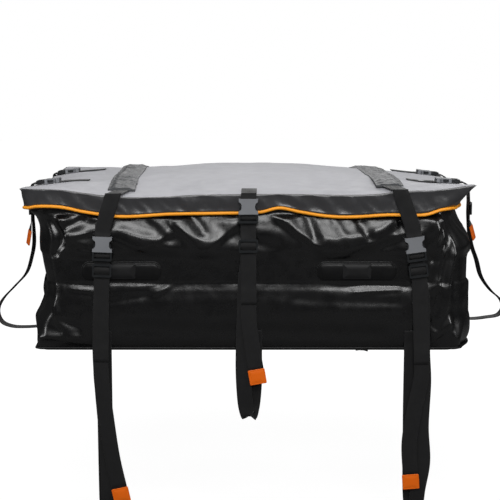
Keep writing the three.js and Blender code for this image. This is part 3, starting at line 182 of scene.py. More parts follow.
def wall_place(u, v, out, radius=WALL_CORNER, tucked=1, right_tuck=RIGHT_TUCK, reach_back=TUCK_BACK):
    """Places on the wall's plan, moved out by a distance, with rounded corners."""
    x = u * (WALL_X + out)
    y = v * (WALL_Y + out)
    corner_x = WALL_X + out - radius
    corner_y = WALL_Y + out - radius
    over_x = np.abs(x) - corner_x
    over_y = np.abs(y) - corner_y
    both = (over_x > 0) & (over_y > 0)
    reach = radius / np.maximum(np.hypot(over_x, over_y), 1e-6)
    x = np.where(both, np.sign(u) * (corner_x + over_x * reach), x)
    y = np.where(both, np.sign(v) * (corner_y + over_y * reach), y)
    near = [
        bell(np.hypot((side - u) * HALF_X / TUCK_REACH, (v + 1) * HALF_Y / back), 1)
        for side, back in ((1, reach_back), (-1, TUCK_REACH))
    ]
    x = x - tucked * (right_tuck * near[0] - LEFT_TUCK * near[1])
    return np.stack([x, y, np.zeros_like(x)], axis=-1)


def over_zip(points):
    return curve_through([(place, ZIP_HEIGHT + rise) for place, rise in points])


# Heights of the lid's rim and of the skirt's lower edge along each face, from the zip's height

RIM = {
    "front": over_zip([
        (-HALF_X, 35), (-457, 32), (-397, 24), (-309, 15), (-220, 15), (-131, 20), (0, 22),
        (136, 22), (225, 20), (314, 22), (373, 29), (462, 32), (HALF_X, 43),
    ]),
    "right": over_zip([(-HALF_Y, 43), (-230, 29), (0, 21), (220, 18), (HALF_Y, 15)]),
    "back": over_zip([(-HALF_X, 15), (-300, 20), (0, 24), (300, 21), (HALF_X, 30)]),
    "left": over_zip([(-HALF_Y, 30), (-200, 22), (0, 19), (200, 24), (HALF_Y, 35)]),
}

HEM = {
    "front": over_zip([
        (-HALF_X, -9), (-516, -4), (-457, -6), (-397, -18), (-309, -29), (-190, -23), (-72, -21),
        (30, -18), (77, -8), (130, -18), (195, -28), (254, -30), (343, -25), (432, -25), (491, -13),
        (HALF_X, -10),
    ]),
    "right": over_zip([(-HALF_Y, -10), (-250, -18), (0, -24), (230, -20), (HALF_Y, -16)]),
    "back": over_zip([(-HALF_X, -16), (-320, -23), (-60, -19), (210, -26), (HALF_X, -11)]),
    "left": over_zip([(-HALF_Y, -11), (-210, -21), (40, -25), (260, -19), (HALF_Y, -9)]),
}


def at_stations(curves):
    values = [curves[face](STATION_ALONG) for face in FACES]
    return np.choose(STATION_FACE, values)


STATION_RIM = at_stations(RIM)
STATION_HEM = at_stations(HEM)


def fold_height(fold, a, b):
    """Height of one soft fold, given as its line's two ends, its width and its height.

    A last number, where there is one, is its width above the line.
    """
    (x0, y0), (x1, y1), width, height, *upper = fold
    dx, dy = x1 - x0, y1 - y0
    length = math.hypot(dx, dy)
    along = ((a - x0) * dx + (b - y0) * dy) / length
    off = ((a - x0) * dy - (b - y0) * dx) / length
    past = np.maximum(0, np.maximum(-along, along - length))
    wide = np.where(off < 0, upper[0], width) if upper else width
    return height * bell(off, wide) * bell(past, max([width, *upper]) * 1.2)


LID_FOLDS = [
    ((-520, -400), (-250, -150), 55, 5),
    ((520, -400), (240, -160), 60, 6),
    ((-510, 390), (-300, 190), 60, 4),
    ((500, 380), (260, 170), 60, -7),
    ((-180, -380), (140, -330), 60, -4),
]


def lid_height(u, v):
    front = RIM["front"](u * HALF_X)
    back = RIM["back"](-u * HALF_X)
    left = RIM["left"](-v * HALF_Y)
    right = RIM["right"](v * HALF_Y)
    s, t = (u + 1) / 2, (v + 1) / 2
    corners = lerp(
        lerp(RIM["front"](-HALF_X), RIM["front"](HALF_X), s),
        lerp(RIM["back"](HALF_X), RIM["back"](-HALF_X), s),
        t,
    )
    rim = lerp(front, back, t) + lerp(left, right, s) - corners
    inside = (1 - np.abs(u) ** 2.6) * (1 - np.abs(v) ** 2.6)
    rise = sum(fold_height(fold, u * HALF_X, v * HALF_Y) for fold in LID_FOLDS)
    return rim + CROWN * inside + FULLER * inside ** 3 + rise * np.minimum(1, 3 * inside)


def lid_top(x, y):
    return lid_height(np.clip(x / LID_X, -1, 1), np.clip(y / LID_Y, -1, 1))


HANDLE_BASE = 178
HANDLE_HIGH = 48
HANDLE_LENGTH = 196
HANDLE_PLACES = {"left": -312, "right": 268}
# Shares of the bulge: on the flat band that carries the handles, and at the foot
HANDLE_SHARE = 0.62
FOOT_SHARE = 0.13
HANDLE_WALL = BULGE * HANDLE_SHARE
BAND_BASE = HANDLE_BASE - 12
BAND_TOP = HANDLE_BASE + HANDLE_HIGH + 4
BAND_EASE = 10
WALL_TOP = TAPE_BASE - 15


def below(part):
    return lerp(WELT_TOP + 1, BAND_BASE, part)


def above(part):
    return lerp(BAND_TOP, WALL_TOP, part)


BULGE_BY_HEIGHT = curve_through([
    (WELT_BASE, FOOT_SHARE), (WELT_TOP + 2, FOOT_SHARE), (below(0.09), 0.5), (below(0.234), 0.82),
    (below(0.416), 1), (below(0.64), 1.04), (below(0.78), 0.99), (below(0.9), 0.78), (BAND_BASE, 0.42),
    (BAND_BASE + BAND_EASE, HANDLE_SHARE), (BAND_TOP, HANDLE_SHARE), (above(0.215), 0.9),
    (above(0.517), 0.8), (above(0.793), 0.35), (WALL_TOP, 0),
])
# By part of the wall's height
LEFT_PULL = curve_through([
    (0, 17), (0.107, 19), (0.22, 20), (0.303, 36), (0.39, 46), (0.506, 44), (0.676, 34), (0.847, 33),
    (0.962, 15), (1, 0),
])
LEFT_PULL_REACH = 110

WALL_FOLDS = {
    "front": [
        ((355, 330), (215, 255), 20, 6), ((395, 325), (335, 276), 18, -6),
        ((470, 335), (400, 250), 20, 6), ((-470, 335), (-405, 255), 20, 6),
        ((-420, 330), (-500, 250), 18, -7), ((-300, 300), (-190, 262), 18, 6),
        ((-170, 325), (-110, 250), 20, 5), ((-60, 300), (60, 262), 22, -5),
        ((130, 320), (180, 250), 20, -5), ((455, 320), (500, 130), 18, 5),
        ((480, 150), (440, 40), 20, -7), ((-520, 44), (-410, 26), 12, 5), ((-300, 60), (330, 44), 20, -4),
    ],
    "right": [
        ((-330, 330), (-260, 90), 26, 6), ((-90, 310), (40, 240), 28, -7),
        ((270, 320), (330, 120), 26, 6),
    ],
    "back": [
        ((-400, 330), (-250, 250), 22, 6), ((60, 320), (190, 250), 22, -6),
        ((330, 330), (420, 250), 22, 6), ((-300, 60), (250, 48), 20, -4),
    ],
    "left": [
        ((-320, 120), (-250, 330), 26, 6), ((60, 310), (-60, 240), 28, -7),
        ((280, 310), (340, 110), 26, 6),
    ],
}

# Finer creases of the coated cloth, drawn on the walls in the same way. Where a last number is given, the
# fold rises gently from above over that width and drops off sharply below its line
CREASES = {
    "front": [
        ((84, 332), (198, 244), 11, 10, 46), ((198, 244), (352, 292), 11, 9, 42),
        ((150, 338), (166, 286), 12, -5), ((276, 338), (292, 288), 14, -6),
        ((306, 262), (362, 284), 9, 4, 14), ((214, 330), (232, 292), 12, 3),
        ((-172, 314), (-106, 256), 10, 7, 32), ((-106, 256), (-52, 298), 10, 6, 30),
        ((-140, 336), (-110, 300), 11, -4), ((-326, 288), (-262, 262), 9, 8, 30),
        ((-262, 262), (-205, 288), 9, 4, 24), ((-240, 336), (-200, 304), 12, 4, 20),
        ((-506, 344), (-452, 330), 8, 4, 16), ((-458, 334), (-442, 288), 15, 6, 26),
        ((-446, 286), (-380, 300), 7, 5, 16), ((-502, 318), (-470, 286), 15, -5),
        ((-428, 338), (-382, 332), 7, 4, 12), ((-420, 262), (-350, 246), 9, -3),
        ((437, 266), (498, 328), 10, 8, 36), ((452, 88), (505, 330), 20, 6, 14),
        ((462, 60), (535, 236), 20, 6, 14), ((500, 120), (548, 270), 18, 5, 15),
        ((466, 232), (500, 268), 9, -4), ((444, 150), (470, 170), 9, 4, 14),
        ((470, 36), (520, 66), 12, 6, 20), ((440, 100), (470, 60), 8, -4),
        ((-510, 112), (-450, 46), 7, 6, 18), ((-545, 34), (-425, 36), 5, 5, 9),
        ((-470, 80), (-420, 62), 8, -3), ((-380, 120), (-250, 140), 9, -1.5),
        ((120, 132), (380, 122), 12, -1.6), ((150, 100), (360, 108), 12, 1.2),
        ((268, 150), (372, 158), 6, 2.6, 9), ((290, 164), (384, 170), 5, 2.2, 8),
        ((-440, 160), (-378, 152), 6, 3, 9), ((-226, 148), (-196, 164), 7, 3, 11),
    ],
    "right": [
        ((-380, 320), (-310, 230), 7, 2.6), ((-350, 240), (-300, 120), 7, -2.2),
        ((-250, 300), (-150, 250), 7, 2.2), ((-60, 320), (20, 262), 7, 2.2),
        ((60, 300), (160, 262), 7, -2.0), ((220, 320), (310, 250), 7, 2.4),
        ((310, 230), (372, 100), 7, 2.4), ((-340, 96), (-250, 50), 7, -2.0),
        ((-140, 120), (90, 140), 9, -1.4), ((170, 110), (330, 60), 8, 1.8),
    ],
    "back": [
        ((-500, 300), (-420, 250), 7, 2.4), ((-380, 320), (-260, 262), 7, 2.2),
        ((-200, 300), (-90, 255), 7, -2.0), ((-60, 322), (50, 270), 7, 2.0),
        ((120, 300), (240, 252), 7, 2.2), ((290, 322), (390, 262), 7, -2.2),
        ((430, 320), (500, 240), 7, 2.6), ((-480, 150), (-400, 60), 7, 2.2),
        ((420, 60), (505, 130), 7, 2.2), ((-280, 130), (40, 142), 9, -1.3),
        ((110, 140), (360, 126), 9, -1.4), ((-200, 92), (120, 84), 9, 1.1),
    ],
    "left": [
        ((-380, 100), (-300, 220), 7, 2.4), ((-330, 230), (-250, 320), 7, 2.2),
        ((-190, 262), (-80, 310), 7, -2.0), ((20, 262), (110, 310), 7, 2.2),
        ((180, 250), (270, 320), 7, 2.2), ((320, 240), (380, 120), 7, -2.2),
        ((-120, 130), (120, 142), 9, -1.4), ((200, 70), (340, 110), 8, 1.8),
        ((290, 330), (372, 250), 7, 2.6),
    ],
}


# How far the long crease under the handles is filled out, from 0 for a deep crease to 1 for none
CREASE_FILL = {
    "front": curve_through([
        (-560, 1), (-470, 0.9), (-440, 0.4), (-385, 0.35), (-340, 0.95), (-250, 0.9), (-205, 0.5),
        (-110, 0.55), (0, 0.7), (60, 0.6), (190, 0.5), (250, 0.2), (372, 0), (420, 0.7), (470, 1),
        (560, 1),
    ]),
    "right": curve_through([
        (-432, 1), (-260, 0.6), (-90, 0.2), (60, 0.5), (230, 0.2), (340, 0.8), (432, 1),
    ]),
    "back": curve_through([
        (-560, 1), (-420, 0.5), (-250, 0.15), (-90, 0.5), (120, 0.3), (300, 0.6), (430, 0.2), (560, 1),
    ]),
    "left": curve_through([
        (-432, 1), (-330, 0.5), (-120, 0.3), (40, 0.6), (200, 0.15), (350, 0.7), (432, 1),
    ]),
}
FRONT_STRAPS = (-358, -3, 425)
STRAP_CLEAR = 52
HANDLE_CLEAR = 118
CREASE_BELOW = 14
CREASE_ABOVE = 4.5
SOFT_CAP = 3


def wall_reach(face, along, height, fine=True):
    """How far the wall stands out, with its bulge and folds. fine adds the creases."""
    edge = HALVES[face] - np.abs(along)
    slack = 0.3 + 0.7 * (1 - bell(edge, 70))
    handle_top = HANDLE_BASE + HANDLE_HIGH
    plain = (height >= HANDLE_BASE - 4) & (height <= handle_top)
    reach = BULGE * np.where(plain, HANDLE_SHARE, BULGE_BY_HEIGHT(height)) * slack
    near_crease = bell(height - BAND_BASE, np.where(height < BAND_BASE, CREASE_BELOW, CREASE_ABOVE))
    reach = reach + BULGE * 0.4 * slack * CREASE_FILL[face](along) * near_crease
    free = plateau(height, (WELT_TOP + 1, WELT_TOP + 12), (WALL_TOP - 18, WALL_TOP - 2))
    band = plateau(height, (BAND_BASE - 8, BAND_BASE + 2), (BAND_TOP, BAND_TOP + 12))
    rise = sum(fold_height(fold, along, height) for fold in WALL_FOLDS[face])
    rise = rise * free * (1 - band)
    if fine:
        handles = [1 - bell(along - place, HANDLE_CLEAR) for place in HANDLE_PLACES.values()]
        clear = 1 - band * (1 - (handles[0] * handles[1] if face in ("front", "back") else 1))
        rise = rise + free * clear * sum(fold_height(fold, along, height) for fold in CREASES[face])
    room = BULGE * 1.05 + 2
    if fine and face == "front":
        apart = np.prod([1 - bell(along - strap, STRAP_CLEAR) for strap in FRONT_STRAPS], axis=0)
        room = room + 7 * apart * smoothstep(height, handle_top + 6, handle_top + 30)
    total = reach + rise
    over = np.maximum(total - room + SOFT_CAP, 0)
    return np.where(total > room - SOFT_CAP, room - SOFT_CAP * np.exp(-over / SOFT_CAP), total)


# What is left of the left end's pull at the back, and where the right end stands out and how far
BACK_PULL = 0.35
PUSH_REACH = 70
PUSH_PLACE = -330
PUSH_WIDTH = 130
PUSH = 5
FOOT_PUSH = 10
LEFT_FOOT = 2


def end_shift(x, y, height):
    """How far a place moves along X: the left end is pulled in, and the right end's front stands out."""
    end = smoothstep(-x, WALL_X - LEFT_PULL_REACH, WALL_X)
    towards_front = lerp(1, BACK_PULL, smoothstep(y, -WALL_Y, WALL_Y))
    out = PUSH + FOOT_PUSH * (1 - smoothstep(height, 30, 110))
    push = smoothstep(x, WALL_X - PUSH_REACH, WALL_X) * bell(y - PUSH_PLACE, PUSH_WIDTH) * out
    push = push * (1 - smoothstep(height, WALL_TOP - 90, WALL_TOP - 20))
    foot = LEFT_FOOT * smoothstep(-x, WALL_X - 90, WALL_X) * bell(y + WALL_Y, 120)
    foot = foot * (1 - smoothstep(height, 14, 60))
    return LEFT_PULL(height / WALL_TOP) * end * towards_front + push - foot


# Pieces

MATERIALS = {}


def make_object(name, points, faces, look, body="bag", smooth=True, slot=None, uvs=None):
    """A mesh piece from points in millimetres. uvs, where given, holds one pair for each point."""
    mesh = bpy.data.meshes.new(name)
    mesh.from_pydata((np.asarray(points, float) * 0.001).tolist(), [], [list(map(int, f)) for f in faces])
    mesh.validate()
    mesh.update()
    if uvs is not None:
        layer = mesh.uv_layers.new(name="weave")
        pairs = np.asarray(uvs, float)
        index = np.empty(len(mesh.loops), int)
        mesh.loops.foreach_get("vertex_index", index)
        layer.data.foreach_set("uv", pairs[index].astype(np.float32).ravel())
    mesh.polygons.foreach_set("use_smooth", [smooth] * len(mesh.polygons))
    obj = bpy.data.objects.new(name, mesh)
    bpy.context.scene.collection.objects.link(obj)
    mesh.materials.append(MATERIALS[look])
    if body:
        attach(obj, body)
    return obj


def grid_faces(rows, columns, wrap_columns=False, wrap_rows=False):
    r = np.arange(rows if wrap_rows else rows - 1)
    c = np.arange(columns if wrap_columns else columns - 1)
    rr, cc = np.meshgrid(r, c, indexing="ij")
    next_r = (rr + 1) % rows
    next_c = (cc + 1) % columns
    quads = [rr * columns + cc, rr * columns + next_c, next_r * columns + next_c, next_r * columns + cc]
    return np.stack(quads, axis=-1).reshape(-1, 4).tolist()


def cap_rings(points, ring, centre, steps, upwards):
    """Closes a ring of point numbers with smaller rings and a fan. Adds points and returns faces."""
    faces = []
    count = len(ring)
    previous = list(ring)
    base = np.array([points[i] for i in ring])
    for k in range(1, steps):
        scale = 1 - k / steps
        start = len(points)
        points.extend(centre + (base - centre) * scale)
        current = list(range(start, start + count))
        for i in range(count):
            j = (i + 1) % count
            quad = [previous[i], previous[j], current[j], current[i]]
            faces.append(quad if upwards else quad[::-1])
        previous = current
    points.append(centre)
    last = len(points) - 1
    for i in range(count):
        j = (i + 1) % count
        faces.append([previous[i], previous[j], last] if upwards else [previous[j], previous[i], last])
    return faces


def bag_ring(height):
    welted = max(float(height), WELT_BASE)
    reaches = [wall_reach(face, STATION_ALONG, welted) for face in FACES]
    reach = np.choose(STATION_FACE, reaches)
    reach = reach - BOTTOM_CHAMFER * max(0.0, 1 - height / (WELT_BASE - 1)) ** 0.6
    radius = float(lerp(FOOT_CORNER, WALL_CORNER, smoothstep(height, 12, 90)))
    raised = float(smoothstep(height, 250, 335))
    tuck, back = lerp(LOW_TUCK, RIGHT_TUCK, raised), lerp(TUCK_REACH, TUCK_BACK, raised)
    places = wall_place(STATION_U, STATION_V, reach, radius, 1, tuck, back)
    places[:, 0] += end_shift(places[:, 0], places[:, 1], height)
    places[:, 2] = height
    return places


def make_bag():
    levels = np.concatenate([[0, 0.8, 1.8, 3, 4, 5], np.arange(8, TAPE_BASE, 3.9), [TAPE_BASE, ZIP_HEIGHT]])
    rings = np.array([bag_ring(height) for height in levels])
    rough = value_noise(rings, 46, 3) * 1.4 + value_noise(rings, 19, 5) * 0.22
    keep = plateau(levels, (WELT_TOP + 5, WELT_TOP + 23), (WALL_TOP - 26, WALL_TOP - 4))
    band = plateau(levels, (BAND_BASE - 6, BAND_BASE + 6), (BAND_TOP - 2, BAND_TOP + 10))
    rough *= (keep * (1 - 0.9 * band))[:, None]
    out = rings * [1, 1, 0]
    length = np.maximum(np.linalg.norm(out, axis=-1, keepdims=True), 1)
    rings = rings + rough[..., None] * out / length
    rings[..., 2] = levels[:, None]
    points = list(rings.reshape(-1, 3))
    count = len(STATION_U)
    faces = grid_faces(len(levels), count, wrap_columns=True)
    faces += cap_rings(points, range(count), vec(0, 0, 0), 6, upwards=False)
    top = range((len(levels) - 1) * count, len(levels) * count)
    faces += cap_rings(points, top, vec(0, 0, ZIP_HEIGHT), 6, upwards=True)
    bag = make_object("bag_shell", np.array(points), faces, "bag", slot="bag")
    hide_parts("bag_body")
    return bag


def make_lid():
    uu, vv = np.meshgrid(LONG, SHORT)
    grid = np.stack([uu * LID_X, vv * LID_Y, lid_height(uu, vv)], axis=-1)
    inside = (1 - np.abs(uu) ** 8) * (1 - np.abs(vv) ** 8)
    flat = grid * [1, 1, 0]
    grid[..., 2] += inside * (value_noise(flat * [1, 0.6, 1], 70, 2) * 2.0 + value_noise(flat, 24, 9) * 0.5)
    edge = (np.abs(uu) == 1) | (np.abs(vv) == 1)
    rounded = wall_place(uu, vv, LID_X - WALL_X, RIM_CORNER, 0)
    grid[edge, :2] = rounded[edge, :2]
    points = list(grid.reshape(-1, 3))
    rows, columns = uu.shape
    faces = grid_faces(rows, columns)
    number = np.arange(rows * columns).reshape(rows, columns)
    rim = np.concatenate([number[0, :-1], number[:-1, -1], number[-1, :0:-1], number[:0:-1, 0]])
    lower = rim
    for height in (TAPE_TOP + 1, ZIP_HEIGHT + GAP):
        ring = wall_place(STATION_U, STATION_V, 0)
        ring[:, 2] = height
        start = len(points)
        points.extend(ring)
        current = np.arange(start, start + len(ring))
        for i in range(len(ring)):
            j = (i + 1) % len(ring)
            faces.append([current[i], current[j], lower[j], lower[i]])
        lower = current
    faces += cap_rings(points, list(lower), vec(0, 0, ZIP_HEIGHT + GAP), 6, upwards=False)
    lid = make_object("lid_cloth", np.array(points), faces, "lid", slot="lid")
    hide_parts("lid_panel")
    return lid


SKIRT_ROWS = 10


def make_skirt():
    upper_out = wall_place(STATION_U, STATION_V, SKIRT_STANDOFF, RIM_CORNER, 0)
    upper_in = wall_place(STATION_U, STATION_V, SKIRT_IN, RIM_CORNER, 0)
    lower_out = wall_place(STATION_U, STATION_V, SKIRT_STANDOFF)
    lower_in = wall_place(STATION_U, STATION_V, SKIRT_IN)
    for upper in (upper_out, upper_in):
        upper[:, 2] = STATION_RIM
    for lower in (lower_out, lower_in):
        lower[:, 2] = STATION_HEM
    outward = lower_out - lower_in
    outward /= np.maximum(np.linalg.norm(outward, axis=-1, keepdims=True), 1e-6)
    calm = 1 - 0.7 * bell(STATION_ALONG, 70) * (STATION_FACE % 2 == 0)
    rows, inner = [], []
    for k in range(SKIRT_ROWS + 1):
        t = k / SKIRT_ROWS
        place = lerp(upper_out, lower_out, t)
        slanted = place * [1, 1, 0.35] + place[:, [2, 2, 2]] * [0.7, 0, 0]
        ripple = value_noise(slanted, 46, 7) * 7 + (0.3 - np.abs(value_noise(slanted, 28, 11))) * 6 - 1
        ripple = np.clip(ripple, -4.5, 1.6) * calm * max(0.0, math.sin(math.pi * t)) ** 0.7
        rows.append(place + outward * ripple[:, None])
        inner.append(lerp(upper_in, lower_in, t) + outward * ripple[:, None])
    rounded = lerp(rows[0], upper_in, 0.5) + np.array([0, 0, 0.7])
    ring = np.array(rows + inner[::-1] + [rounded])
    faces = grid_faces(len(ring), len(STATION_U), wrap_columns=True, wrap_rows=True)
    skirt = make_object("skirt_cloth", ring.reshape(-1, 3), [f[::-1] for f in faces], "skirt", slot="skirt")
    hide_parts("lid_skirt")
    return skirt


def make_band(name, look, node, slot, profile, ring_at, smooth=True):
    """A closed band round the bag. profile goes round its section, as distances out and heights."""
    rings = []
    for out, height in profile:
        ring = ring_at(out)
        ring[:, 2] = height
        rings.append(ring)
    faces = grid_faces(len(profile), len(STATION_U), wrap_columns=True, wrap_rows=True)
    band = make_object(name, np.array(rings).reshape(-1, 3), faces, look, slot=slot, smooth=smooth)
    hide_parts(node)


# The piping is a little fuller than in the part's source
PIPING_FULLER = 0.8
PIPING_SIDES = 18


def make_bands():
    def at_wall(out):
        return wall_place(STATION_U, STATION_V, out)

    low = STATION_HEM - GAP - PIPING_RADIUS
    radius = PIPING_RADIUS + PIPING_FULLER
    angles = [2 * math.pi * (i + 0.5) / PIPING_SIDES for i in range(PIPING_SIDES)]
    cord = [(PIPING_OUT + radius * math.cos(angle), low + radius * math.sin(angle)) for angle in angles]
    make_band("piping_cord", "piping", "skirt_piping", "piping", cord, at_wall)

    wall = bag_ring(WELT_BASE)
    wide = wall_place(STATION_U, STATION_V, 1, FOOT_CORNER) - wall_place(STATION_U, STATION_V, 0, FOOT_CORNER)
    welt = [(GAP, WELT_BASE), (2.5, WELT_BASE + 0.3), (4.4, WELT_BASE + 1), (WELT_OUT, WELT_BASE + 2.4),
            (WELT_OUT, WELT_TOP - 2.4), (4.4, WELT_TOP - 1), (2.5, WELT_TOP - 0.3), (GAP, WELT_TOP)]
    make_band("welt_cord", "welt", "bottom_welt", "bag", welt, lambda out: wall + wide * out)

    face = GAP + TAPE_THICK
    teeth = face + 0.9
    tape = [(GAP, TAPE_BASE), (face, TAPE_BASE), (face, ZIP_HEIGHT - 2.6), (teeth, ZIP_HEIGHT - 1.8),
            (teeth, ZIP_HEIGHT + 1.8), (face, ZIP_HEIGHT + 2.6), (face, TAPE_TOP), (GAP, TAPE_TOP)]
    make_band("zip_band", "zip", "zip_tape", "zip", tape, at_wall, smooth=False)


# Webbing

# Half of the section's outline, as parts of the half width and half thickness
SECTION = [
    (-1, -0.3), (-1, 0.3), (-0.985, 0.8), (-0.95, 1), (-0.6, 1), (-0.2, 1), (0.2, 1), (0.6, 1), (0.95, 1),
    (0.985, 0.8), (1, 0.3),
]
SECTION += [(-a, -b) for a, b in SECTION[1:-1]]
ACROSS = vec(1, 0, 0)


def unit(v):
    return v / max(np.linalg.norm(v), 1e-9)


def soften(stops, rounds=1):
    """Cuts the corners of a line of stops, each a place and the direction across the webbing."""
    for _ in range(rounds):
        cut = [stops[0]]
        for (p, a), (q, b) in zip(stops, stops[1:]):
            cut += [(lerp(p, q, 0.25), lerp(a, b, 0.25)), (lerp(p, q, 0.75), lerp(a, b, 0.75))]
        stops = cut + [stops[-1]]
    return stops


def ribbon(stops, width=WEB_WIDTH, thick=WEB_THICK):
    """Points, faces and weave coordinates of webbing along stops."""
    places = np.array([at for at, _ in stops])
    steps = np.diff(places, axis=0)
    lengths = np.linalg.norm(steps, axis=1)
    steps = steps / np.maximum(lengths, 1e-9)[:, None]
    run = np.concatenate([[0], np.cumsum(lengths)])
    points, uvs = [], []
    for i, (at, across) in enumerate(stops):
        before = steps[max(i - 1, 0)]
        after = steps[min(i, len(steps) - 1)]
        tangent = unit(before + after)
        mitre = 1 / max(0.6, float(tangent @ after))
        side = unit(across - tangent * float(across @ tangent))
        face = np.cross(tangent, side)
        for a, b in SECTION:
            points.append(at + side * (a * width / 2) + face * (b * thick * mitre / 2))
            uvs.append((run[i] / 10, a * width / 20))
    count = len(SECTION)
    faces = grid_faces(len(stops), count, wrap_columns=True)
    faces = [f[::-1] for f in faces]
    faces.append(list(range(count)))
    faces.append(list(range((len(stops) - 1) * count, len(stops) * count))[::-1])
    return points, faces, uvs


def make_webbing(name, part, node=None, body="bag"):
    """Webbing from points, faces and weave coordinates. body is None where the webbing is attached to no body.
    """
    points, faces, uvs = part
    web = make_object(name, points, faces, "webbing", body=body, slot="webbing", uvs=uvs)
    if node:
        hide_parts(node)
    return web


def combined(*parts):
    points, faces, uvs = [], [], []
    for part_points, part_faces, part_uvs in parts:
        base = len(points)
        points += list(part_points)
        uvs += list(part_uvs)
        faces += [[base + i for i in face] for face in part_faces]
    return points, faces, uvs


def smooth_line(points, count):
    """Evenly spaced places along a centripetal curve through points."""
    p = [np.asarray(q, float) for q in points]
    p = [2 * p[0] - p[1], *p, 2 * p[-1] - p[-2]]
    line = []
    for i in range(1, len(p) - 2):
        a, b, c, d = p[i - 1:i + 3]
        t1 = math.sqrt(np.linalg.norm(b - a)) or 1
        t2 = t1 + (math.sqrt(np.linalg.norm(c - b)) or 1)
        t3 = t2 + (math.sqrt(np.linalg.norm(d - c)) or 1)
        for t in np.linspace(t1, t2, 32, endpoint=False):
            ab, bc, cd = lerp(a, b, t / t1), lerp(b, c, (t - t1) / (t2 - t1)), lerp(c, d, (t - t2) / (t3 - t2))
            abc, bcd = lerp(ab, bc, t / t2), lerp(bc, cd, (t - t1) / (t3 - t1))
            line.append(lerp(abc, bcd, (t - t1) / (t2 - t1)))
    line = np.array(line + [p[-2]])
    run = np.concatenate([[0], np.cumsum(np.linalg.norm(np.diff(line, axis=0), axis=1))])
    wanted = np.linspace(0, run[-1], count + 1)
    return np.stack([np.interp(wanted, run, line[:, k]) for k in range(3)], axis=-1)


def turned(axis, angle):
    return np.array(Matrix.Rotation(angle, 4, axis))


def moved(x, y, z):
    return np.array(Matrix.Translation((x, y, z)))


def apply(matrix, point):
    return matrix[:3, :3] @ np.asarray(point, float) + matrix[:3, 3]


def flat_stops(points, across=ACROSS):
    return [(np.asarray(p, float), across) for p in points]


def stops_in(points, matrix):
    across = matrix[:3, :3] @ ACROSS
    return [(apply(matrix, (0, y, z)), across) for y, z in points]


def in_world(stops, matrix):
    return [(apply(matrix, at), matrix[:3, :3] @ across) for at, across in stops]


# Places in the buckles' frame, where Y runs into the bag and Z is 0 at the socket's mouth

LAYER_NEAR = SOCKET_THICK / 2 - 0.7
LAYER_NEXT = LAYER_NEAR - LAYER
BAR_THICK = 3.6
BAR_MIDDLE = 32.5
PLUG_SLOT = 4.6
PLUG_BAR = 4.4
PLUG_BAR_MIDDLE = -2.4 - PLUG_SLOT - PLUG_BAR / 2
BAR_BACK = LAYER_NEXT - WEB_THICK / 2 - GAP
BAR_FRONT = BAR_BACK - 2.2
GLIDE_BAR = 5.5
GLIDE_BAR_THIN = 1.6
GLIDE_SLOT = (GLIDE_HEIGHT - 3 * GLIDE_BAR) / 2
GLIDE_BACK = LAYER_NEXT - WEB_THICK / 2 - GAP
GLIDE_FRONT = GLIDE_BACK - GLIDE_THICK
TAB_WIDTH = 42
TAB_LENGTH = 38
TAB_THICK = 3.4
TAB_STANDOFF = 1.4
TURN_RADIUS = BAR_THICK / 2 + WEB_THICK / 2 + GAP + 0.2
TURN_Y = LAYER_NEAR - TURN_RADIUS
TURN_Z = BAR_MIDDLE - BAR_THICK / 2 + 0.4
SEWN_END = SOCKET_LENGTH + 30


def socket_turn(room):
    """The lid strap's way round the socket's bar. Its sewn end stops where room ends, under the rim."""
    long = room > SEWN_END
    arc = [math.pi * (1 + i / 8) for i in range(9)]
    return [
        *([(LAYER_NEXT, SEWN_END - 10), (LAYER_NEXT, SOCKET_LENGTH + 8)] if long else []),
        (TURN_Y - TURN_RADIUS, SOCKET_LENGTH - 2),
        *[(TURN_Y + TURN_RADIUS * math.cos(angle), TURN_Z + TURN_RADIUS * math.sin(angle)) for angle in arc],
        *([(LAYER_NEAR, SOCKET_LENGTH + 4)] if long else []),
        (LAYER_NEAR, min(SEWN_END, room)),
    ]


OVER_BAR = BAR_FRONT - WEB_THICK / 2 - GAP
PLUG_TURN = [
    (LAYER_NEAR, PLUG_BAR_MIDDLE - 5),
    (LAYER_NEAR, PLUG_BAR_MIDDLE + 0.5),
    (LAYER_NEAR - 0.9, PLUG_BAR_MIDDLE + 3.1),
    ((LAYER_NEAR + OVER_BAR) / 2, PLUG_BAR_MIDDLE + 4.3),
    (OVER_BAR + 0.3, PLUG_BAR_MIDDLE + 3.3),
    (OVER_BAR, PLUG_BAR_MIDDLE + 1.2),
    (OVER_BAR, PLUG_BAR_MIDDLE - PLUG_BAR / 2 - 0.4),
    (OVER_BAR + 0.9, PLUG_BAR_MIDDLE - 3.5),
    (LAYER_NEXT - 0.7, PLUG_BAR_MIDDLE - 5.1),
    (LAYER_NEXT, PLUG_BAR_MIDDLE - 6.1),
    (LAYER_NEXT, -PLUG_LENGTH + 3),
]

GLIDE_OVER = GLIDE_FRONT + GLIDE_BAR_THIN - WEB_THICK / 2 - GAP
GLIDE_EDGE = GLIDE_BAR / 2 + GLIDE_SLOT
GLIDE_TURN = [
    (LAYER_NEXT, GLIDE_EDGE - 0.2),
    (GLIDE_OVER, GLIDE_BAR / 2 + 0.6),
    (GLIDE_OVER, -GLIDE_BAR / 2 - 0.6),
    (LAYER_NEXT, 0.2 - GLIDE_EDGE),
    (LAYER_NEXT, -GLIDE_HEIGHT / 2 - 4),
]

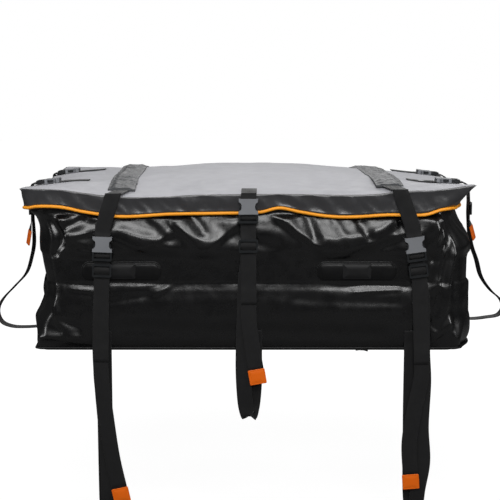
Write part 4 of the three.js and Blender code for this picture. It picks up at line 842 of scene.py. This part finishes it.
SETS = {
    "front": {
        "left": dict(
            rim=-330, sewn=-314, mouth=(-357, -119), slant=2, glide=-46,
            hang=[(-363, 110), (-366, 0), (-362, -90), (-352, -230), (-349, -370)],
            loop=-426, anchor=-357, tail_end=-23,
            tail=[(-364, -60), (-352, -170), (-338, -270), (-322, -345)],
        ),
        "centre": dict(
            rim=2, sewn=3, mouth=(1, -26), slant=0, glide=-78,
            hang=[(-5, 190), (-9, 80), (-12, -30), (-10, -90)],
            loop=-163, anchor=16, tail_end=121,
            tail=[(2, 90), (9, 25), (20, -42)],
        ),
        "right": dict(
            rim=372, sewn=352, mouth=(412, -120), slant=-8, glide=-46,
            hang=[(429, 130), (432, 0), (436, -70), (432, -190), (437, -280), (426, -350)],
            loop=-412, anchor=406, tail_end=-29,
            tail=[(430, -60), (413, -150), (402, -230), (406, -310)],
        ),
    },
    "back": {
        "left": dict(
            rim=336, sewn=330, mouth=(345, -120), slant=-2, glide=-46,
            hang=[(352, 120), (355, 50), (354, -40), (350, -100)],
            loop=-172, anchor=350, tail_end=66,
            tail=[(355, 38), (360, -10), (366, -60)],
        ),
        "centre": dict(
            rim=-2, sewn=-3, mouth=(-1, -52), slant=0, glide=-70,
            hang=[(4, 190), (8, 80), (10, -40), (8, -110)],
            loop=-180, anchor=-12, tail_end=110,
            tail=[(-2, 80), (-6, 20), (-14, -50)],
        ),
        "right": dict(
            rim=-344, sewn=-335, mouth=(-356, -118), slant=2, glide=-48,
            hang=[(-362, 120), (-365, 50), (-363, -45), (-358, -105)],
            loop=-176, anchor=-352, tail_end=60,
            tail=[(-365, 32), (-371, -20), (-376, -70)],
        ),
    },
}

# Clear of the wall and of the welt, and the heights of the sewn end of a front or rear strap
WALL_CLEAR = 1.6
WELT_CLEAR = 1.4
SEAM_HEIGHTS = (54, 40, 26)
STRIP_INSET = 48
OVER_RIM = 2.1
RIM_ROOM = 10


def outward_of(face):
    """Gives Y in a face's own frame for a distance out of its wall."""
    return lambda out: -(WALLS[face] + out)


def lid_under(face_matrix, x, y, width, slant=0):
    samples = []
    for k in (-0.5, -0.25, 0, 0.25, 0.5):
        at = apply(face_matrix, (x + k * width, y - k * width * slant, 0))
        samples.append(float(lid_top(at[0], at[1])))
    return max(samples)


def rim_under(face, x, width):
    return max(float(RIM[face](x + k * width)) for k in (-1, -0.5, 0, 0.5, 1))


def lid_strap_stops(face, face_matrix, outwards, fitting, settings):
    top = rim_under(face, settings["rim"], WEB_WIDTH + 2) + OVER_RIM + WEB_THICK / 2
    room = top - RIM_ROOM - (ZIP_HEIGHT + settings["mouth"][1])
    turn = stops_in(socket_turn(room), fitting)[::-1]
    start = turn[-1][0]
    rim, sewn = settings["rim"], settings["sewn"]
    hem = vec(lerp(start[0], rim, 0.5), outwards(REAR_LAYER + LAYER - 0.6), lerp(start[2], top, 0.5))
    skirt_top = outwards(SKIRT_STANDOFF + WEB_THICK / 2 + OVER_RIM)
    edge = [vec(rim, skirt_top + out, top + up) for out, up in ((0, -4), (0.2, -0.9), (2.2, 0.2))]
    slant = (sewn - rim) / STRIP_INSET
    over = []
    for inset in (6, 11, 15, 21, 28, 38, STRIP_INSET):
        x = lerp(rim, sewn, inset / STRIP_INSET)
        y = outwards(SKIRT_STANDOFF) + inset
        over.append(vec(x, y, lid_under(face_matrix, x, y, WEB_WIDTH + 4, slant) + GAP + WEB_THICK / 2 + 0.5))
    hems = [hem] if start[2] < top - 40 else []
    return turn + flat_stops(hems + edge + over)


def rounded_outline(length, high, radius, inset=0, corner=6):
    x, z = length / 2 - inset, high / 2 - inset
    radius = max(radius - inset, 0.2)
    points = []
    for cx, cz, start in ((x - radius, -z + radius, -90), (x - radius, z - radius, 0),
                          (-x + radius, z - radius, 90), (-x + radius, -z + radius, 180)):
        for i in range(corner + 1):
            angle = math.radians(start + 90 * i / corner)
            points.append((cx + radius * math.cos(angle), cz + radius * math.sin(angle)))
    return points


def slab(length, high, radius, layers):
    """A closed panel with its face along Y. Layers are (inset, Y), from the back to the front."""
    points, faces = [], []
    count = len(rounded_outline(length, high, radius))
    for inset, y in layers:
        points += [vec(x, y, z) for x, z in rounded_outline(length, high, radius, inset)]
    faces += grid_faces(len(layers), count, wrap_columns=True)
    faces.append(list(range(count))[::-1])
    faces.append(list(range((len(layers) - 1) * count, len(layers) * count)))
    return points, faces, [(p[0] / 10, p[2] / 10) for p in points]


def placed(part, matrix):
    points, faces, uvs = part
    return [apply(matrix, p) for p in points], faces, uvs


def make_tab(matrix, name, body, node=None):
    """Orange end tab, from its top edge down, with a seam pressed in round its edge."""
    half = TAB_THICK / 2
    pressed = [(14, 0.1), (4.2, 0), (3.4, 0.35), (2.6, 0), (0.9, 0.05), (0.25, 0.45), (0, 1.1)]
    layers = [(inset, half - depth) for inset, depth in pressed]
    layers += [(inset, -y) for inset, y in layers[::-1]]
    part = slab(TAB_WIDTH, TAB_LENGTH, 3, layers)
    tab = placed(part, matrix @ moved(0, 0, -TAB_LENGTH / 2))
    obj = make_object(name, *tab[:2], "tab", body=body, slot="tab", uvs=tab[2])
    if node:
        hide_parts(node)
    return obj


# A tri-glide's own mesh, for the straps whose tri-glide is one piece with the webbing in the frame
GLIDE_SOURCE = NODES["triglide_front_centre"]
GLIDE_AT = (SETS["front"]["centre"]["mouth"][0], -WALL_Y - REAR_LAYER - LAYER_NEAR,
            ZIP_HEIGHT + SETS["front"]["centre"]["mouth"][1] + SETS["front"]["centre"]["glide"])


def metres(matrix):
    scaled = Matrix(matrix.tolist())
    scaled.translation *= 0.001
    return scaled


def make_glide(name, matrix, body):
    mesh = GLIDE_SOURCE.data.copy()
    mesh.name = name
    mesh.transform(metres(matrix @ moved(*[-c for c in GLIDE_AT])))
    mesh.materials.clear()
    mesh.materials.append(MATERIALS["plastic"])
    glide = bpy.data.objects.new(name, mesh)
    bpy.context.scene.collection.objects.link(glide)
    round_edges(glide)
    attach(glide, body)
    return glide


def round_edges(obj, width=0.0007, segments=3):
    bevel = obj.modifiers.new("edges", "BEVEL")
    bevel.width = width
    bevel.segments = segments
    bevel.limit_method = "ANGLE"
    bevel.angle_limit = math.radians(32)
    bevel.harden_normals = False
    normals = obj.modifiers.new("normals", "WEIGHTED_NORMAL")
    normals.keep_sharp = False


def long_set(face, side, settings):
    name = f"{face}_{side}"
    body = f"plug_{name}"
    fused = face == "back"
    face_matrix = turned("Z", TURNS[face])
    outwards = outward_of(face)

    mouth_x, mouth_z = settings["mouth"][0], ZIP_HEIGHT + settings["mouth"][1]
    lean = turned("Y", math.radians(settings["slant"]))
    fitting = moved(mouth_x, outwards(REAR_LAYER) - LAYER_NEAR, mouth_z) @ lean
    glide_place = fitting @ moved(0, 0, settings["glide"])
    near = outwards(REAR_LAYER)
    following = outwards(REAR_LAYER + LAYER)
    anchor, loop = settings["anchor"], settings["loop"]

    def on_wall(height):
        reach = float(wall_reach(face, np.float64(anchor), np.float64(height), fine=False))
        return outwards(reach + WEB_THICK / 2 + WALL_CLEAR)

    over_welt = outwards(BULGE * FOOT_SHARE + WELT_OUT + WEB_THICK / 2 + WELT_CLEAR)
    seam = [vec(anchor, on_wall(height), height) for height in SEAM_HEIGHTS]
    hang = [vec(x, near, z) for x, z in settings["hang"]][::-1]
    bottom = hang[0][0]
    path = [
        vec(anchor, over_welt, WELT_TOP + 1),
        vec(anchor, over_welt, WELT_BASE - 9),
        vec(anchor, over_welt + 2, loop * 0.45),
        vec(lerp(anchor, bottom, 0.22), over_welt + 3, loop + 24),
        vec(lerp(anchor, bottom, 0.5), (over_welt + near) / 2, loop),
        vec(lerp(anchor, bottom, 0.8), near + 4, loop + 22),
        *hang,
        *[apply(glide_place, (0, LAYER_NEAR, z)) for z in (-GLIDE_HEIGHT / 2 - 12, GLIDE_HEIGHT / 2 + 2)],
    ]
    plug_turn = stops_in(PLUG_TURN, fitting)
    glide_turn = stops_in(GLIDE_TURN, glide_place)
    leaning = plug_turn[0][1]
    line = smooth_line(path, 110)
    climb = []
    for i, at in enumerate(line):
        t = i / (len(line) - 1)
        across = lerp(ACROSS, leaning, float(smoothstep(t, 0.8, 0.93)))
        climb.append((at, across))
    start = glide_turn[-1][0]
    tail_x, tail_z = settings["tail"][0]
    overlap = settings["tail_end"] + 34
    lifted = following - WEB_THICK + 0.2
    doubled = flat_stops([
        vec(lerp(start[0], tail_x, 0.5), following, lerp(start[2], overlap, 0.5)),
        vec(lerp(start[0], tail_x, 0.86), following - 0.2, overlap + 8),
        vec(lerp(start[0], tail_x, 0.9), lifted, overlap - 2),
        vec(tail_x, lifted, settings["tail_end"]),
    ])
    rising = soften(flat_stops(seam) + climb)
    main = ribbon(rising + soften(plug_turn, 2) + soften(glide_turn) + soften(doubled))
    drop = settings["tail"][1:]
    tail_points = [
        vec(lerp(start[0], tail_x, 0.92), following, overlap - 4),
        vec(tail_x, following, tail_z),
        *[vec(x, following - TAB_STANDOFF * (i + 1) / len(drop), z) for i, (x, z) in enumerate(drop)],
    ]
    tail_line = smooth_line(tail_points, 30)
    tail = ribbon(flat_stops(tail_line))
    coarse = smooth_line(tail_points, 6)
    lead = unit(coarse[-1] - coarse[-2])
    web = make_webbing(f"webbing_{name}", placed(combined(main, tail), face_matrix), f"strap_{name}", None)
    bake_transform(web)

    tilt = math.atan2(-lead[0], -lead[2])
    end = coarse[-1] + lead * GAP
    tab_place = face_matrix @ moved(*end) @ turned("Y", tilt)
    make_tab(tab_place, f"tab_{name}", body, None if fused else f"strap_tab_{name}")
    if fused:
        make_glide(f"glide_{name}", face_matrix @ glide_place, body)
    stops = lid_strap_stops(face, face_matrix, outwards, fitting, settings)
    return in_world(stops, face_matrix)


STRIP_WIDTH = 68
STRIP_SKIN = 1.5
STRIP_STEPS = 150
STRIP_START = 0.008
# The strip's own surface over the lid: (part of its half width, part of the way up over the webbing)
STRIP_SECTION = [
    (-1, 0), (-0.97, 0.06), (-0.84, 0.1), (-0.72, 0.3), (-0.62, 0.75), (-0.5, 0.97), (-0.25, 1), (0, 1),
]
STRIP_SECTION += [(-part, rise) for part, rise in STRIP_SECTION[-2::-1]]


def make_strip(side, front, back):
    start, end = front[-1][0], back[-1][0]
    under, rows = [], []
    hump = WEB_THICK + 2 * GAP + STRIP_SKIN
    for i in range(STRIP_STEPS + 1):
        t = lerp(STRIP_START, 1 - STRIP_START, i / STRIP_STEPS)
        x, y = lerp(start[0], end[0], t), lerp(start[1], end[1], t)
        web = max(float(lid_top(x + k * (WEB_WIDTH + 4), y)) for k in (-0.5, 0, 0.5)) + GAP + 0.6
        broad = max(float(lid_top(x + k * STRIP_WIDTH, y)) for k in (-0.5, 0, 0.5))
        base = max(broad + GAP + 0.8, web)
        under.append(vec(x, y, web + WEB_THICK / 2))
        row = []
        for a, rise in STRIP_SECTION:
            at = vec(x + a * STRIP_WIDTH / 2, y, base + 0.9 + rise * hump)
            crease = 0.5 - 2 * abs(noise.noise(Vector((at[0] / 44, at[1] / 15 + at[0] / 38, 4.2))))
            wave = noise.noise(Vector((at[0] / 50, at[1] / 30, 8.8)))
            at[0] += 1.4 * wave * abs(a)
            at[2] += (1 - abs(a) ** 6) * (3.2 * crease + 0.8 * wave)
            if abs(a) < 0.66:
                at[2] = max(at[2], web + WEB_THICK + 0.5)
            row.append(at)
        low = float(lid_top(x, y)) - 1
        row.append(vec(x + STRIP_WIDTH / 2 - 0.4, y, min(low, base)))
        row.append(vec(x - STRIP_WIDTH / 2 + 0.4, y, min(low, base)))
        rows.append(row)
    count = len(rows[0])
    faces = grid_faces(len(rows), count, wrap_columns=True)
    faces.append(list(range(count))[::-1])
    faces.append(list(range((len(rows) - 1) * count, len(rows) * count)))
    strip = make_object(f"strip_{side}", np.array(rows).reshape(-1, 3), faces, "strip", slot="strip")
    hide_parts(f"lid_strip_{side}")
    stops = soften(front) + flat_stops(under) + soften([(at, -across) for at, across in back])[::-1]
    make_webbing(f"lid_webbing_{side}", ribbon(stops), f"lid_strap_{side}")


END_PLACES = {"front": -199, "back": 199}
END_MOUTH = 31
END_GLIDE_HEIGHT = ZIP_HEIGHT - 34
# out: how far the tri-glide stands off. flare: how far the tail does. tail: its end, down from the tri-glide.
# twist turns the loop's webbing, and swing the tail. bow: the loop's places as (out from the wall, height)
END_SETS = {
    "left": dict(
        out=0, flare=5, tail=59, twist=math.radians(-6), swing=math.radians(18),
        bow={
            "front": [
                (17, 243), (24, 206), (38, 165), (71, 128), (103, 93), (116, 62), (106, 34), (80, 22),
                (40, 20),
            ],
            "back": [
                (17, 243), (20, 206), (26, 165), (37, 128), (48, 93), (53, 62), (48, 38), (36, 25),
                (24, 20),
            ],
        },
    ),
    "right": dict(
        out=12, flare=5, tail=46, twist=math.radians(9), swing=math.radians(-18),
        bow={
            "front": [
                (40, 243), (55, 200), (68, 155), (94, 118), (121, 93), (128, 72), (116, 53), (84, 46),
                (44, 42),
            ],
            "back": [
                (34, 243), (44, 200), (56, 155), (68, 118), (76, 90), (78, 70), (70, 52), (52, 43),
                (36, 42),
            ],
        },
    ),
}


def end_set(face, place):
    settings = END_SETS[face]
    name = f"{face}_{place}"
    body = f"plug_{name}"
    face_matrix = turned("Z", TURNS[face])
    outwards = outward_of(face)

    x = -END_PLACES[place] if face == "left" else END_PLACES[place]
    rim_y = outwards(SKIRT_STANDOFF)
    mouth_y = rim_y + END_MOUTH

    # The buckle leans as the lid does under it. Its height is read from its plug's lowest corner in the frame
    low = lid_under(face_matrix, x, mouth_y - PLUG_LENGTH, WEB_WIDTH)
    high = lid_under(face_matrix, x, mouth_y + SEWN_END, WEB_WIDTH)
    lean = turned("X", -math.pi / 2 + math.atan2(high - low, SEWN_END + PLUG_LENGTH))
    plug_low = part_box(f"buckle_plug_{name}")[0]
    at_zero = [apply(lean, (0, y, z))[2] for y in (-4.5, 4.5) for z in (-PLUG_LENGTH, 21)]
    fitting = moved(x, mouth_y, plug_low[2] * 1000 - min(at_zero)) @ lean

    anchor_end = apply(fitting, (0, LAYER_NEAR, SEWN_END))
    sewn = []
    for run in (12, 24, 36, 46):
        y = anchor_end[1] + run
        sewn.append(vec(x, y, lid_under(face_matrix, x, y, WEB_WIDTH + 2) + WEB_THICK / 2 + 0.4))
    marks = (BAR_MIDDLE - 1, SOCKET_LENGTH + 6, SEWN_END - 12)
    short = stops_in([(LAYER_NEAR, z) for z in marks], fitting)
    short = in_world(soften(short + flat_stops(sewn), 2), face_matrix)
    make_webbing(f"lid_webbing_{name}", ribbon(short, WEB_WIDTH + 0.5, WEB_THICK + 0.6))

    glide_out = REAR_LAYER + settings["out"]
    glide_place = moved(x, outwards(glide_out) - LAYER_NEAR, END_GLIDE_HEIGHT)
    top = rim_under(face, x, WEB_WIDTH + 2) + OVER_RIM + WEB_THICK / 2 + 0.3

    def over_rim(layer):
        return [
            vec(x, rim_y + 1, top + layer),
            vec(x, rim_y - 2.2 - layer * 0.8, top - 1.6 + layer * 0.8),
            vec(x, lerp(rim_y, outwards(glide_out), 0.8) - 1 - layer, top - 7),
            vec(x, outwards(glide_out) - layer, END_GLIDE_HEIGHT + GLIDE_HEIGHT / 2 + 4),
        ]

    def wall_at(height):
        wall_y = outwards(float(wall_reach(face, np.float64(x), np.float64(height), fine=False)))
        world = apply(face_matrix, (x, wall_y, 0))
        inwards = 1 if face == "left" else -1
        return wall_y + inwards * float(end_shift(world[0], world[1], height))

    places = settings["bow"][place]
    seam_height = places[-1][1]
    seam = []
    for height in (seam_height + 40, seam_height + 26, seam_height + 10):
        seam.append(vec(x, wall_at(height) - WEB_THICK / 2 - WALL_CLEAR, height))
    bow = [vec(x, outwards(out), z) for out, z in places][::-1]
    near = [vec(x, outwards(glide_out), END_GLIDE_HEIGHT - GLIDE_HEIGHT / 2 - 6), *over_rim(0)[::-1]]
    line = smooth_line([vec(x, seam[-1][1] - 1.5, seam_height + 3), *bow, *near[:2]], 80)
    climb = []
    for i, at in enumerate(line):
        t = i / (len(line) - 1)
        amount = plateau(t, (0.12, 0.4), (0.72, 0.92))
        climb.append((at, turned("Z", settings["twist"] * float(amount))[:3, :3] @ ACROSS))
    plug_turn = stops_in(PLUG_TURN, fitting)
    past_plug = stops_in([(LAYER_NEXT, -PLUG_LENGTH - 1.5)], fitting)
    glide_turn = stops_in(GLIDE_TURN, glide_place)
    tail_top = glide_turn[-1][0]
    tail_end = vec(x, tail_top[1] - TAB_STANDOFF - settings["flare"], END_GLIDE_HEIGHT - settings["tail"])
    tail_middle = vec(x, lerp(tail_top[1], tail_end[1], 0.45), lerp(tail_top[2], tail_end[2], 0.5))
    lead = unit(tail_end - tail_middle)
    half_swing, swing = [turned("Z", settings["swing"] * part) for part in (0.5, 1)]
    tail = [(tail_middle, half_swing[:3, :3] @ ACROSS), (tail_end, swing[:3, :3] @ ACROSS)]
    stops = [
        *soften(flat_stops(seam) + climb + flat_stops(near[2:])), *soften(plug_turn, 2), *past_plug,
        *soften(flat_stops(over_rim(LAYER))), *soften(glide_turn), *soften(tail),
    ]
    web = make_webbing(f"webbing_{name}", ribbon(in_world(stops, face_matrix)), f"strap_{name}", None)
    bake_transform(web)
    make_glide(f"glide_{name}", face_matrix @ glide_place, body)
    hanging = turned("X", math.atan2(lead[1], -lead[2]))
    tab_place = face_matrix @ moved(*(tail_end + lead * GAP)) @ hanging @ swing
    make_tab(tab_place, f"tab_{name}", body, f"strap_tab_{name}")


# Carry handles

PATCH_THICK = 1.5
SLEEVE_THICK = 3
SLEEVE_MARGIN = 4
HANDLE_CORNER = 19  # rounder than in the part's source
GRIP_LENGTH = 70


def make_handle(face, side):
    face_matrix = turned("Z", TURNS[face])
    middle = HANDLE_BASE + HANDLE_HIGH / 2
    wall = -(WALL_Y + HANDLE_WALL)
    place = face_matrix @ moved(HANDLE_PLACES[side], 0, middle)
    back = wall + 0.5
    front = wall - GAP - PATCH_THICK
    patch_layers = [(0, back), (0, front + 0.6), (0.25, front + 0.15), (0.8, front), (10, front)]
    patch = placed(slab(HANDLE_LENGTH, HANDLE_HIGH, HANDLE_CORNER, patch_layers), place)
    outer = front - GAP - SLEEVE_THICK
    layers = [(0, front + 0.1), (0, front - 0.9), (0.5, front - 1.5), (1.6, front - 1.9), (2.6, front - 1.6),
              (3.6, front - 2.0), (6.5, front - 2.7), (11, outer + 0.2), (19, outer)]
    sleeve = placed(slab(HANDLE_LENGTH - 2 * SLEEVE_MARGIN, HANDLE_HIGH - 2 * SLEEVE_MARGIN,
                         HANDLE_CORNER - SLEEVE_MARGIN, layers), place)
    # The grip in the middle: a padded roll over the sleeve, with a stitched line pressed in at each of its ends
    grip_layers = [(0, outer + 0.8), (0, outer - 0.3), (0.6, outer - 1.2), (2, outer - 1.9), (3, outer - 1.6),
                   (4.2, outer - 2.3), (8, outer - 3.4), (13, outer - 4)]
    grip = placed(slab(GRIP_LENGTH, HANDLE_HIGH - 2 * SLEEVE_MARGIN - 1, 3, grip_layers), place)
    nodes = [f"handle_patch_{side}", f"handle_sleeve_{side}", None]
    looks = ["handle", "handle", "grip"]
    for kind, part, node, look in zip(("patch", "sleeve", "grip"), (patch, sleeve, grip), nodes, looks):
        faces = [f[::-1] for f in part[1]]
        obj = make_object(f"handle_{kind}_{face}_{side}", part[0], faces, look, slot="bag", uvs=part[2])
        if face == "front" and node:
            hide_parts(node)
        elif face == "back" and kind == "sleeve":
            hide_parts(f"handle_back_{side}")


# Materials

RIB_DEPTH = 0.0003  # metres
RAMP_ENDS = ("From Min", "From Max", "To Min", "To Max")


def linear(code):
    values = [((code >> shift) & 255) / 255 for shift in (16, 8, 0)]
    return (*[v / 12.92 if v <= 0.04045 else ((v + 0.055) / 1.055) ** 2.4 for v in values], 1)


def shade(
    name, colour, roughness, grain, creases=None, tint=0.12, spread=0.12, shine=0.5, sheen=0.0, weave=None,
):
    """A procedural cloth or plastic. grain and creases are (scale, strength, depth in metres).

    weave adds a web's ribs, each as (direction, scale, strength).
    """
    material = bpy.data.materials.new(name)
    material.use_nodes = True
    nodes, links = material.node_tree.nodes, material.node_tree.links
    shader = nodes["Principled BSDF"]
    shader.inputs["Specular IOR Level"].default_value = shine
    shader.inputs["Sheen Weight"].default_value = sheen
    where = nodes.new("ShaderNodeTexCoord").outputs["Object"]

    def noise_node(scale, detail=3.0, stretch=None):
        node = nodes.new("ShaderNodeTexNoise")
        node.inputs["Scale"].default_value = scale
        node.inputs["Detail"].default_value = detail
        source = where
        if stretch:
            mapping = nodes.new("ShaderNodeMapping")
            mapping.inputs["Scale"].default_value = stretch
            links.new(where, mapping.inputs["Vector"])
            source = mapping.outputs["Vector"]
        links.new(source, node.inputs["Vector"])
        return node.outputs["Fac"]

    def ramp(factor, low, high, low_value, high_value):
        node = nodes.new("ShaderNodeMapRange")
        for label, value in zip(RAMP_ENDS, (low, high, low_value, high_value)):
            node.inputs[label].default_value = value
        links.new(factor, node.inputs["Value"])
        return node.outputs["Result"]

    mix = nodes.new("ShaderNodeMix")
    mix.data_type = "RGBA"
    base = linear(colour)
    mix.inputs["A"].default_value = (*[c * (1 - tint) for c in base[:3]], 1)
    mix.inputs["B"].default_value = (*[min(1, c * (1 + tint)) for c in base[:3]], 1)
    links.new(ramp(noise_node(14), 0.3, 0.7, 0, 1), mix.inputs["Factor"])
    links.new(mix.outputs["Result"], shader.inputs["Base Color"])
    worn = ramp(noise_node(38, 4), 0.3, 0.7, roughness * (1 - spread), roughness * (1 + spread))
    links.new(worn, shader.inputs["Roughness"])

    normal = None
    layers = [(noise_node(grain[0], 2), grain[1], grain[2])]
    if creases:
        layers.insert(0, (noise_node(creases[0], 2.5, (1, 1, 0.6)), creases[1], creases[2]))
    if weave:
        uv = nodes.new("ShaderNodeUVMap")
        uv.uv_map = "weave"
        for direction, scale, strength in weave:
            wave = nodes.new("ShaderNodeTexWave")
            wave.bands_direction = direction
            wave.inputs["Scale"].default_value = scale
            links.new(uv.outputs["UV"], wave.inputs["Vector"])
            layers.append((wave.outputs["Fac"], strength, RIB_DEPTH))
    for height, strength, depth in layers:
        bump = nodes.new("ShaderNodeBump")
        bump.inputs["Strength"].default_value = strength
        bump.inputs["Distance"].default_value = depth
        links.new(height, bump.inputs["Height"])
        if normal:
            links.new(normal, bump.inputs["Normal"])
        normal = bump.outputs["Normal"]
    links.new(normal, shader.inputs["Normal"])
    MATERIALS[name] = material
    return material


def make_materials():
    shade("bag", 0x070708, 0.27, (900, 0.1, 0.0004), (26, 0.22, 0.006), tint=0.1, shine=0.75)
    shade("lid", 0xB4B4B9, 0.6, (900, 0.1, 0.0004), (24, 0.45, 0.006), tint=0.03, shine=0.12)
    shade("strip", 0x4C4D4F, 0.5, (900, 0.1, 0.0004), (60, 0.7, 0.008), tint=0.1, shine=0.12)
    shade("skirt", 0x323234, 0.32, (900, 0.12, 0.0004), (46, 0.4, 0.005), tint=0.08, shine=0.9)
    shade("welt", 0x0B0B0C, 0.5, (900, 0.12, 0.0004), (60, 0.3, 0.002), shine=0.3)
    shade("handle", 0x09090A, 0.36, (900, 0.14, 0.0004), (50, 0.25, 0.002), shine=0.35)
    shade("grip", 0x131314, 0.5, (900, 0.2, 0.0004), (50, 0.2, 0.002), shine=0.3)
    shade("piping", 0xFFA426, 0.42, (700, 0.12, 0.0004), (60, 0.15, 0.001), tint=0.03, shine=0.35)
    shade("tab", 0xEE6A08, 0.42, (700, 0.12, 0.0004), (60, 0.2, 0.001), tint=0.05, shine=0.35)
    shade("zip", 0x141414, 0.7, (1200, 0.3, 0.0004))
    shade("plastic", 0x1C1E20, 0.34, (1400, 0.1, 0.0003), tint=0.06)
    # The sockets are the same plastic as the plugs and tri-glides; their lighter grey is painted sheen
    shade("socket", 0x7A7C80, 0.36, (1400, 0.1, 0.0003), tint=0.06)
    shade("webbing", 0x111112, 0.7, (1500, 0.25, 0.0003), tint=0.12, shine=0.25, sheen=0.12,
          weave=(("X", 1.9, 0.5), ("Y", 1.1, 0.35)))


# Stage

EYE = Vector((0.005, -3.70, 0.683))
PITCH_DOWN = 7.46
LENS = 96.7
FLOOR = -0.45
FLOOR_GREY = 0.16
# The floor's glow at its middle and further out, which keeps a soft shadow in the middle
GLOW = (0.91, 1.0)
GLOW_REACH = (0.5, 1.7)
WORLD_STRENGTH = 0.06


def camera_white(tree, plain, white):
    """A closure that is white to the camera and plain to every other ray."""
    path = tree.nodes.new("ShaderNodeLightPath")
    mix = tree.nodes.new("ShaderNodeMixShader")
    tree.links.new(path.outputs["Is Camera Ray"], mix.inputs["Fac"])
    tree.links.new(plain, mix.inputs[1])
    tree.links.new(white, mix.inputs[2])
    return mix.outputs[0]


def make_floor_material():
    """Pale floor that glows to the camera, so that it shows white and keeps the object's soft shadow."""
    material = bpy.data.materials.new("floor")
    material.use_nodes = True
    tree = material.node_tree
    nodes, links = tree.nodes, tree.links
    nodes.remove(nodes["Principled BSDF"])
    diffuse = nodes.new("ShaderNodeBsdfDiffuse")
    diffuse.inputs["Color"].default_value = (FLOOR_GREY, FLOOR_GREY, FLOOR_GREY, 1)
    where = nodes.new("ShaderNodeTexCoord")
    distance = nodes.new("ShaderNodeVectorMath")
    distance.operation = "LENGTH"
    links.new(where.outputs["Object"], distance.inputs[0])
    glow = nodes.new("ShaderNodeMapRange")
    glow.interpolation_type = "SMOOTHSTEP"
    for label, value in zip(RAMP_ENDS, (*GLOW_REACH, *GLOW)):
        glow.inputs[label].default_value = value
    links.new(distance.outputs["Value"], glow.inputs["Value"])
    emission = nodes.new("ShaderNodeEmission")
    links.new(glow.outputs["Result"], emission.inputs["Strength"])
    both = nodes.new("ShaderNodeAddShader")
    links.new(diffuse.outputs[0], both.inputs[0])
    links.new(emission.outputs[0], both.inputs[1])
    surface = camera_white(tree, diffuse.outputs[0], both.outputs[0])
    links.new(surface, nodes["Material Output"].inputs["Surface"])
    return material


def make_stage():
    scene = bpy.context.scene
    camera = bpy.data.objects.new("camera", bpy.data.cameras.new("camera"))
    scene.collection.objects.link(camera)
    camera.data.lens = LENS
    camera.data.sensor_width = 36
    camera.data.clip_end = 50
    camera.location = EYE
    camera.rotation_euler = (math.radians(90 - PITCH_DOWN), 0, 0)
    scene.camera = camera

    mesh = bpy.data.meshes.new("floor")
    mesh.from_pydata([(-14, -9, 0), (14, -9, 0), (14, 19, 0), (-14, 19, 0)], [], [(0, 1, 2, 3)])
    floor = bpy.data.objects.new("floor", mesh)
    floor.location.z = FLOOR
    scene.collection.objects.link(floor)
    mesh.materials.append(make_floor_material())

    world = bpy.data.worlds.new("world")
    scene.world = world
    world.use_nodes = True
    tree = world.node_tree
    plain = tree.nodes["Background"]
    plain.inputs["Color"].default_value = (1, 1, 1, 1)
    plain.inputs["Strength"].default_value = WORLD_STRENGTH
    white = tree.nodes.new("ShaderNodeBackground")
    white.inputs["Color"].default_value = (1, 1, 1, 1)
    surface = camera_white(tree, plain.outputs[0], white.outputs[0])
    tree.links.new(surface, tree.nodes["World Output"].inputs["Surface"])

    for name, place, target, size, power in (
        ("key", (-0.5, -2.5, 2.7), (0, -0.1, 0.3), (3.4, 0.9), 58),
        ("right", (3.0, -1.6, 1.3), (0, -0.2, 0.2), (1.0, 1.4), 32),
        ("left", (-3.0, -1.8, 1.2), (0, -0.2, 0.2), (1.0, 1.4), 30),
        ("front", (0.6, -4.3, 2.2), (0, 0, 0.25), (2.4, 0.7), 50),
        ("back", (0.3, 3.2, 2.3), (0, 0, 0.25), (2.8, 1.0), 66),
    ):
        light = bpy.data.lights.new(name, "AREA")
        light.shape = "RECTANGLE"
        light.size, light.size_y = size
        light.energy = power
        lamp = bpy.data.objects.new(name, light)
        scene.collection.objects.link(lamp)
        lamp.location = place
        lamp.rotation_euler = (Vector(target) - Vector(place)).to_track_quat("-Z", "Y").to_euler()
    scene.view_settings.view_transform = "Standard"


def dress_nodes():
    """Buckles, tri-glides and zip sliders keep their CAD shape, with rounded edges and moulded plastic; the
    sockets' lighter grey is painted sheen.
    """
    for name, node in NODES.items():
        if node.hide_render:
            continue
        if name.startswith(("buckle_", "triglide_", "zip_slider")):
            node.data.materials.clear()
            # Sockets get the lighter grey of painted sheen
            node.data.materials.append(MATERIALS["socket" if name.startswith("buckle_socket") else "plastic"])
            round_edges(node)


make_stage()
make_materials()
make_bag()
make_lid()
make_skirt()
make_bands()
lid_stops = {face: {side: long_set(face, side, settings) for side, settings in sides.items()}
             for face, sides in SETS.items()}
for side in ("left", "right"):
    make_strip(side, lid_stops["front"][side], lid_stops["back"][side])
for face in ("front", "back"):
    centre = ribbon(soften(lid_stops[face]["centre"]))
    make_webbing(f"lid_webbing_centre_{face}", centre, f"lid_strap_centre_{face}")
for face in END_SETS:
    for place in END_PLACES:
        end_set(face, place)
for face in ("front", "back"):
    for side in HANDLE_PLACES:
        make_handle(face, side)
dress_nodes()
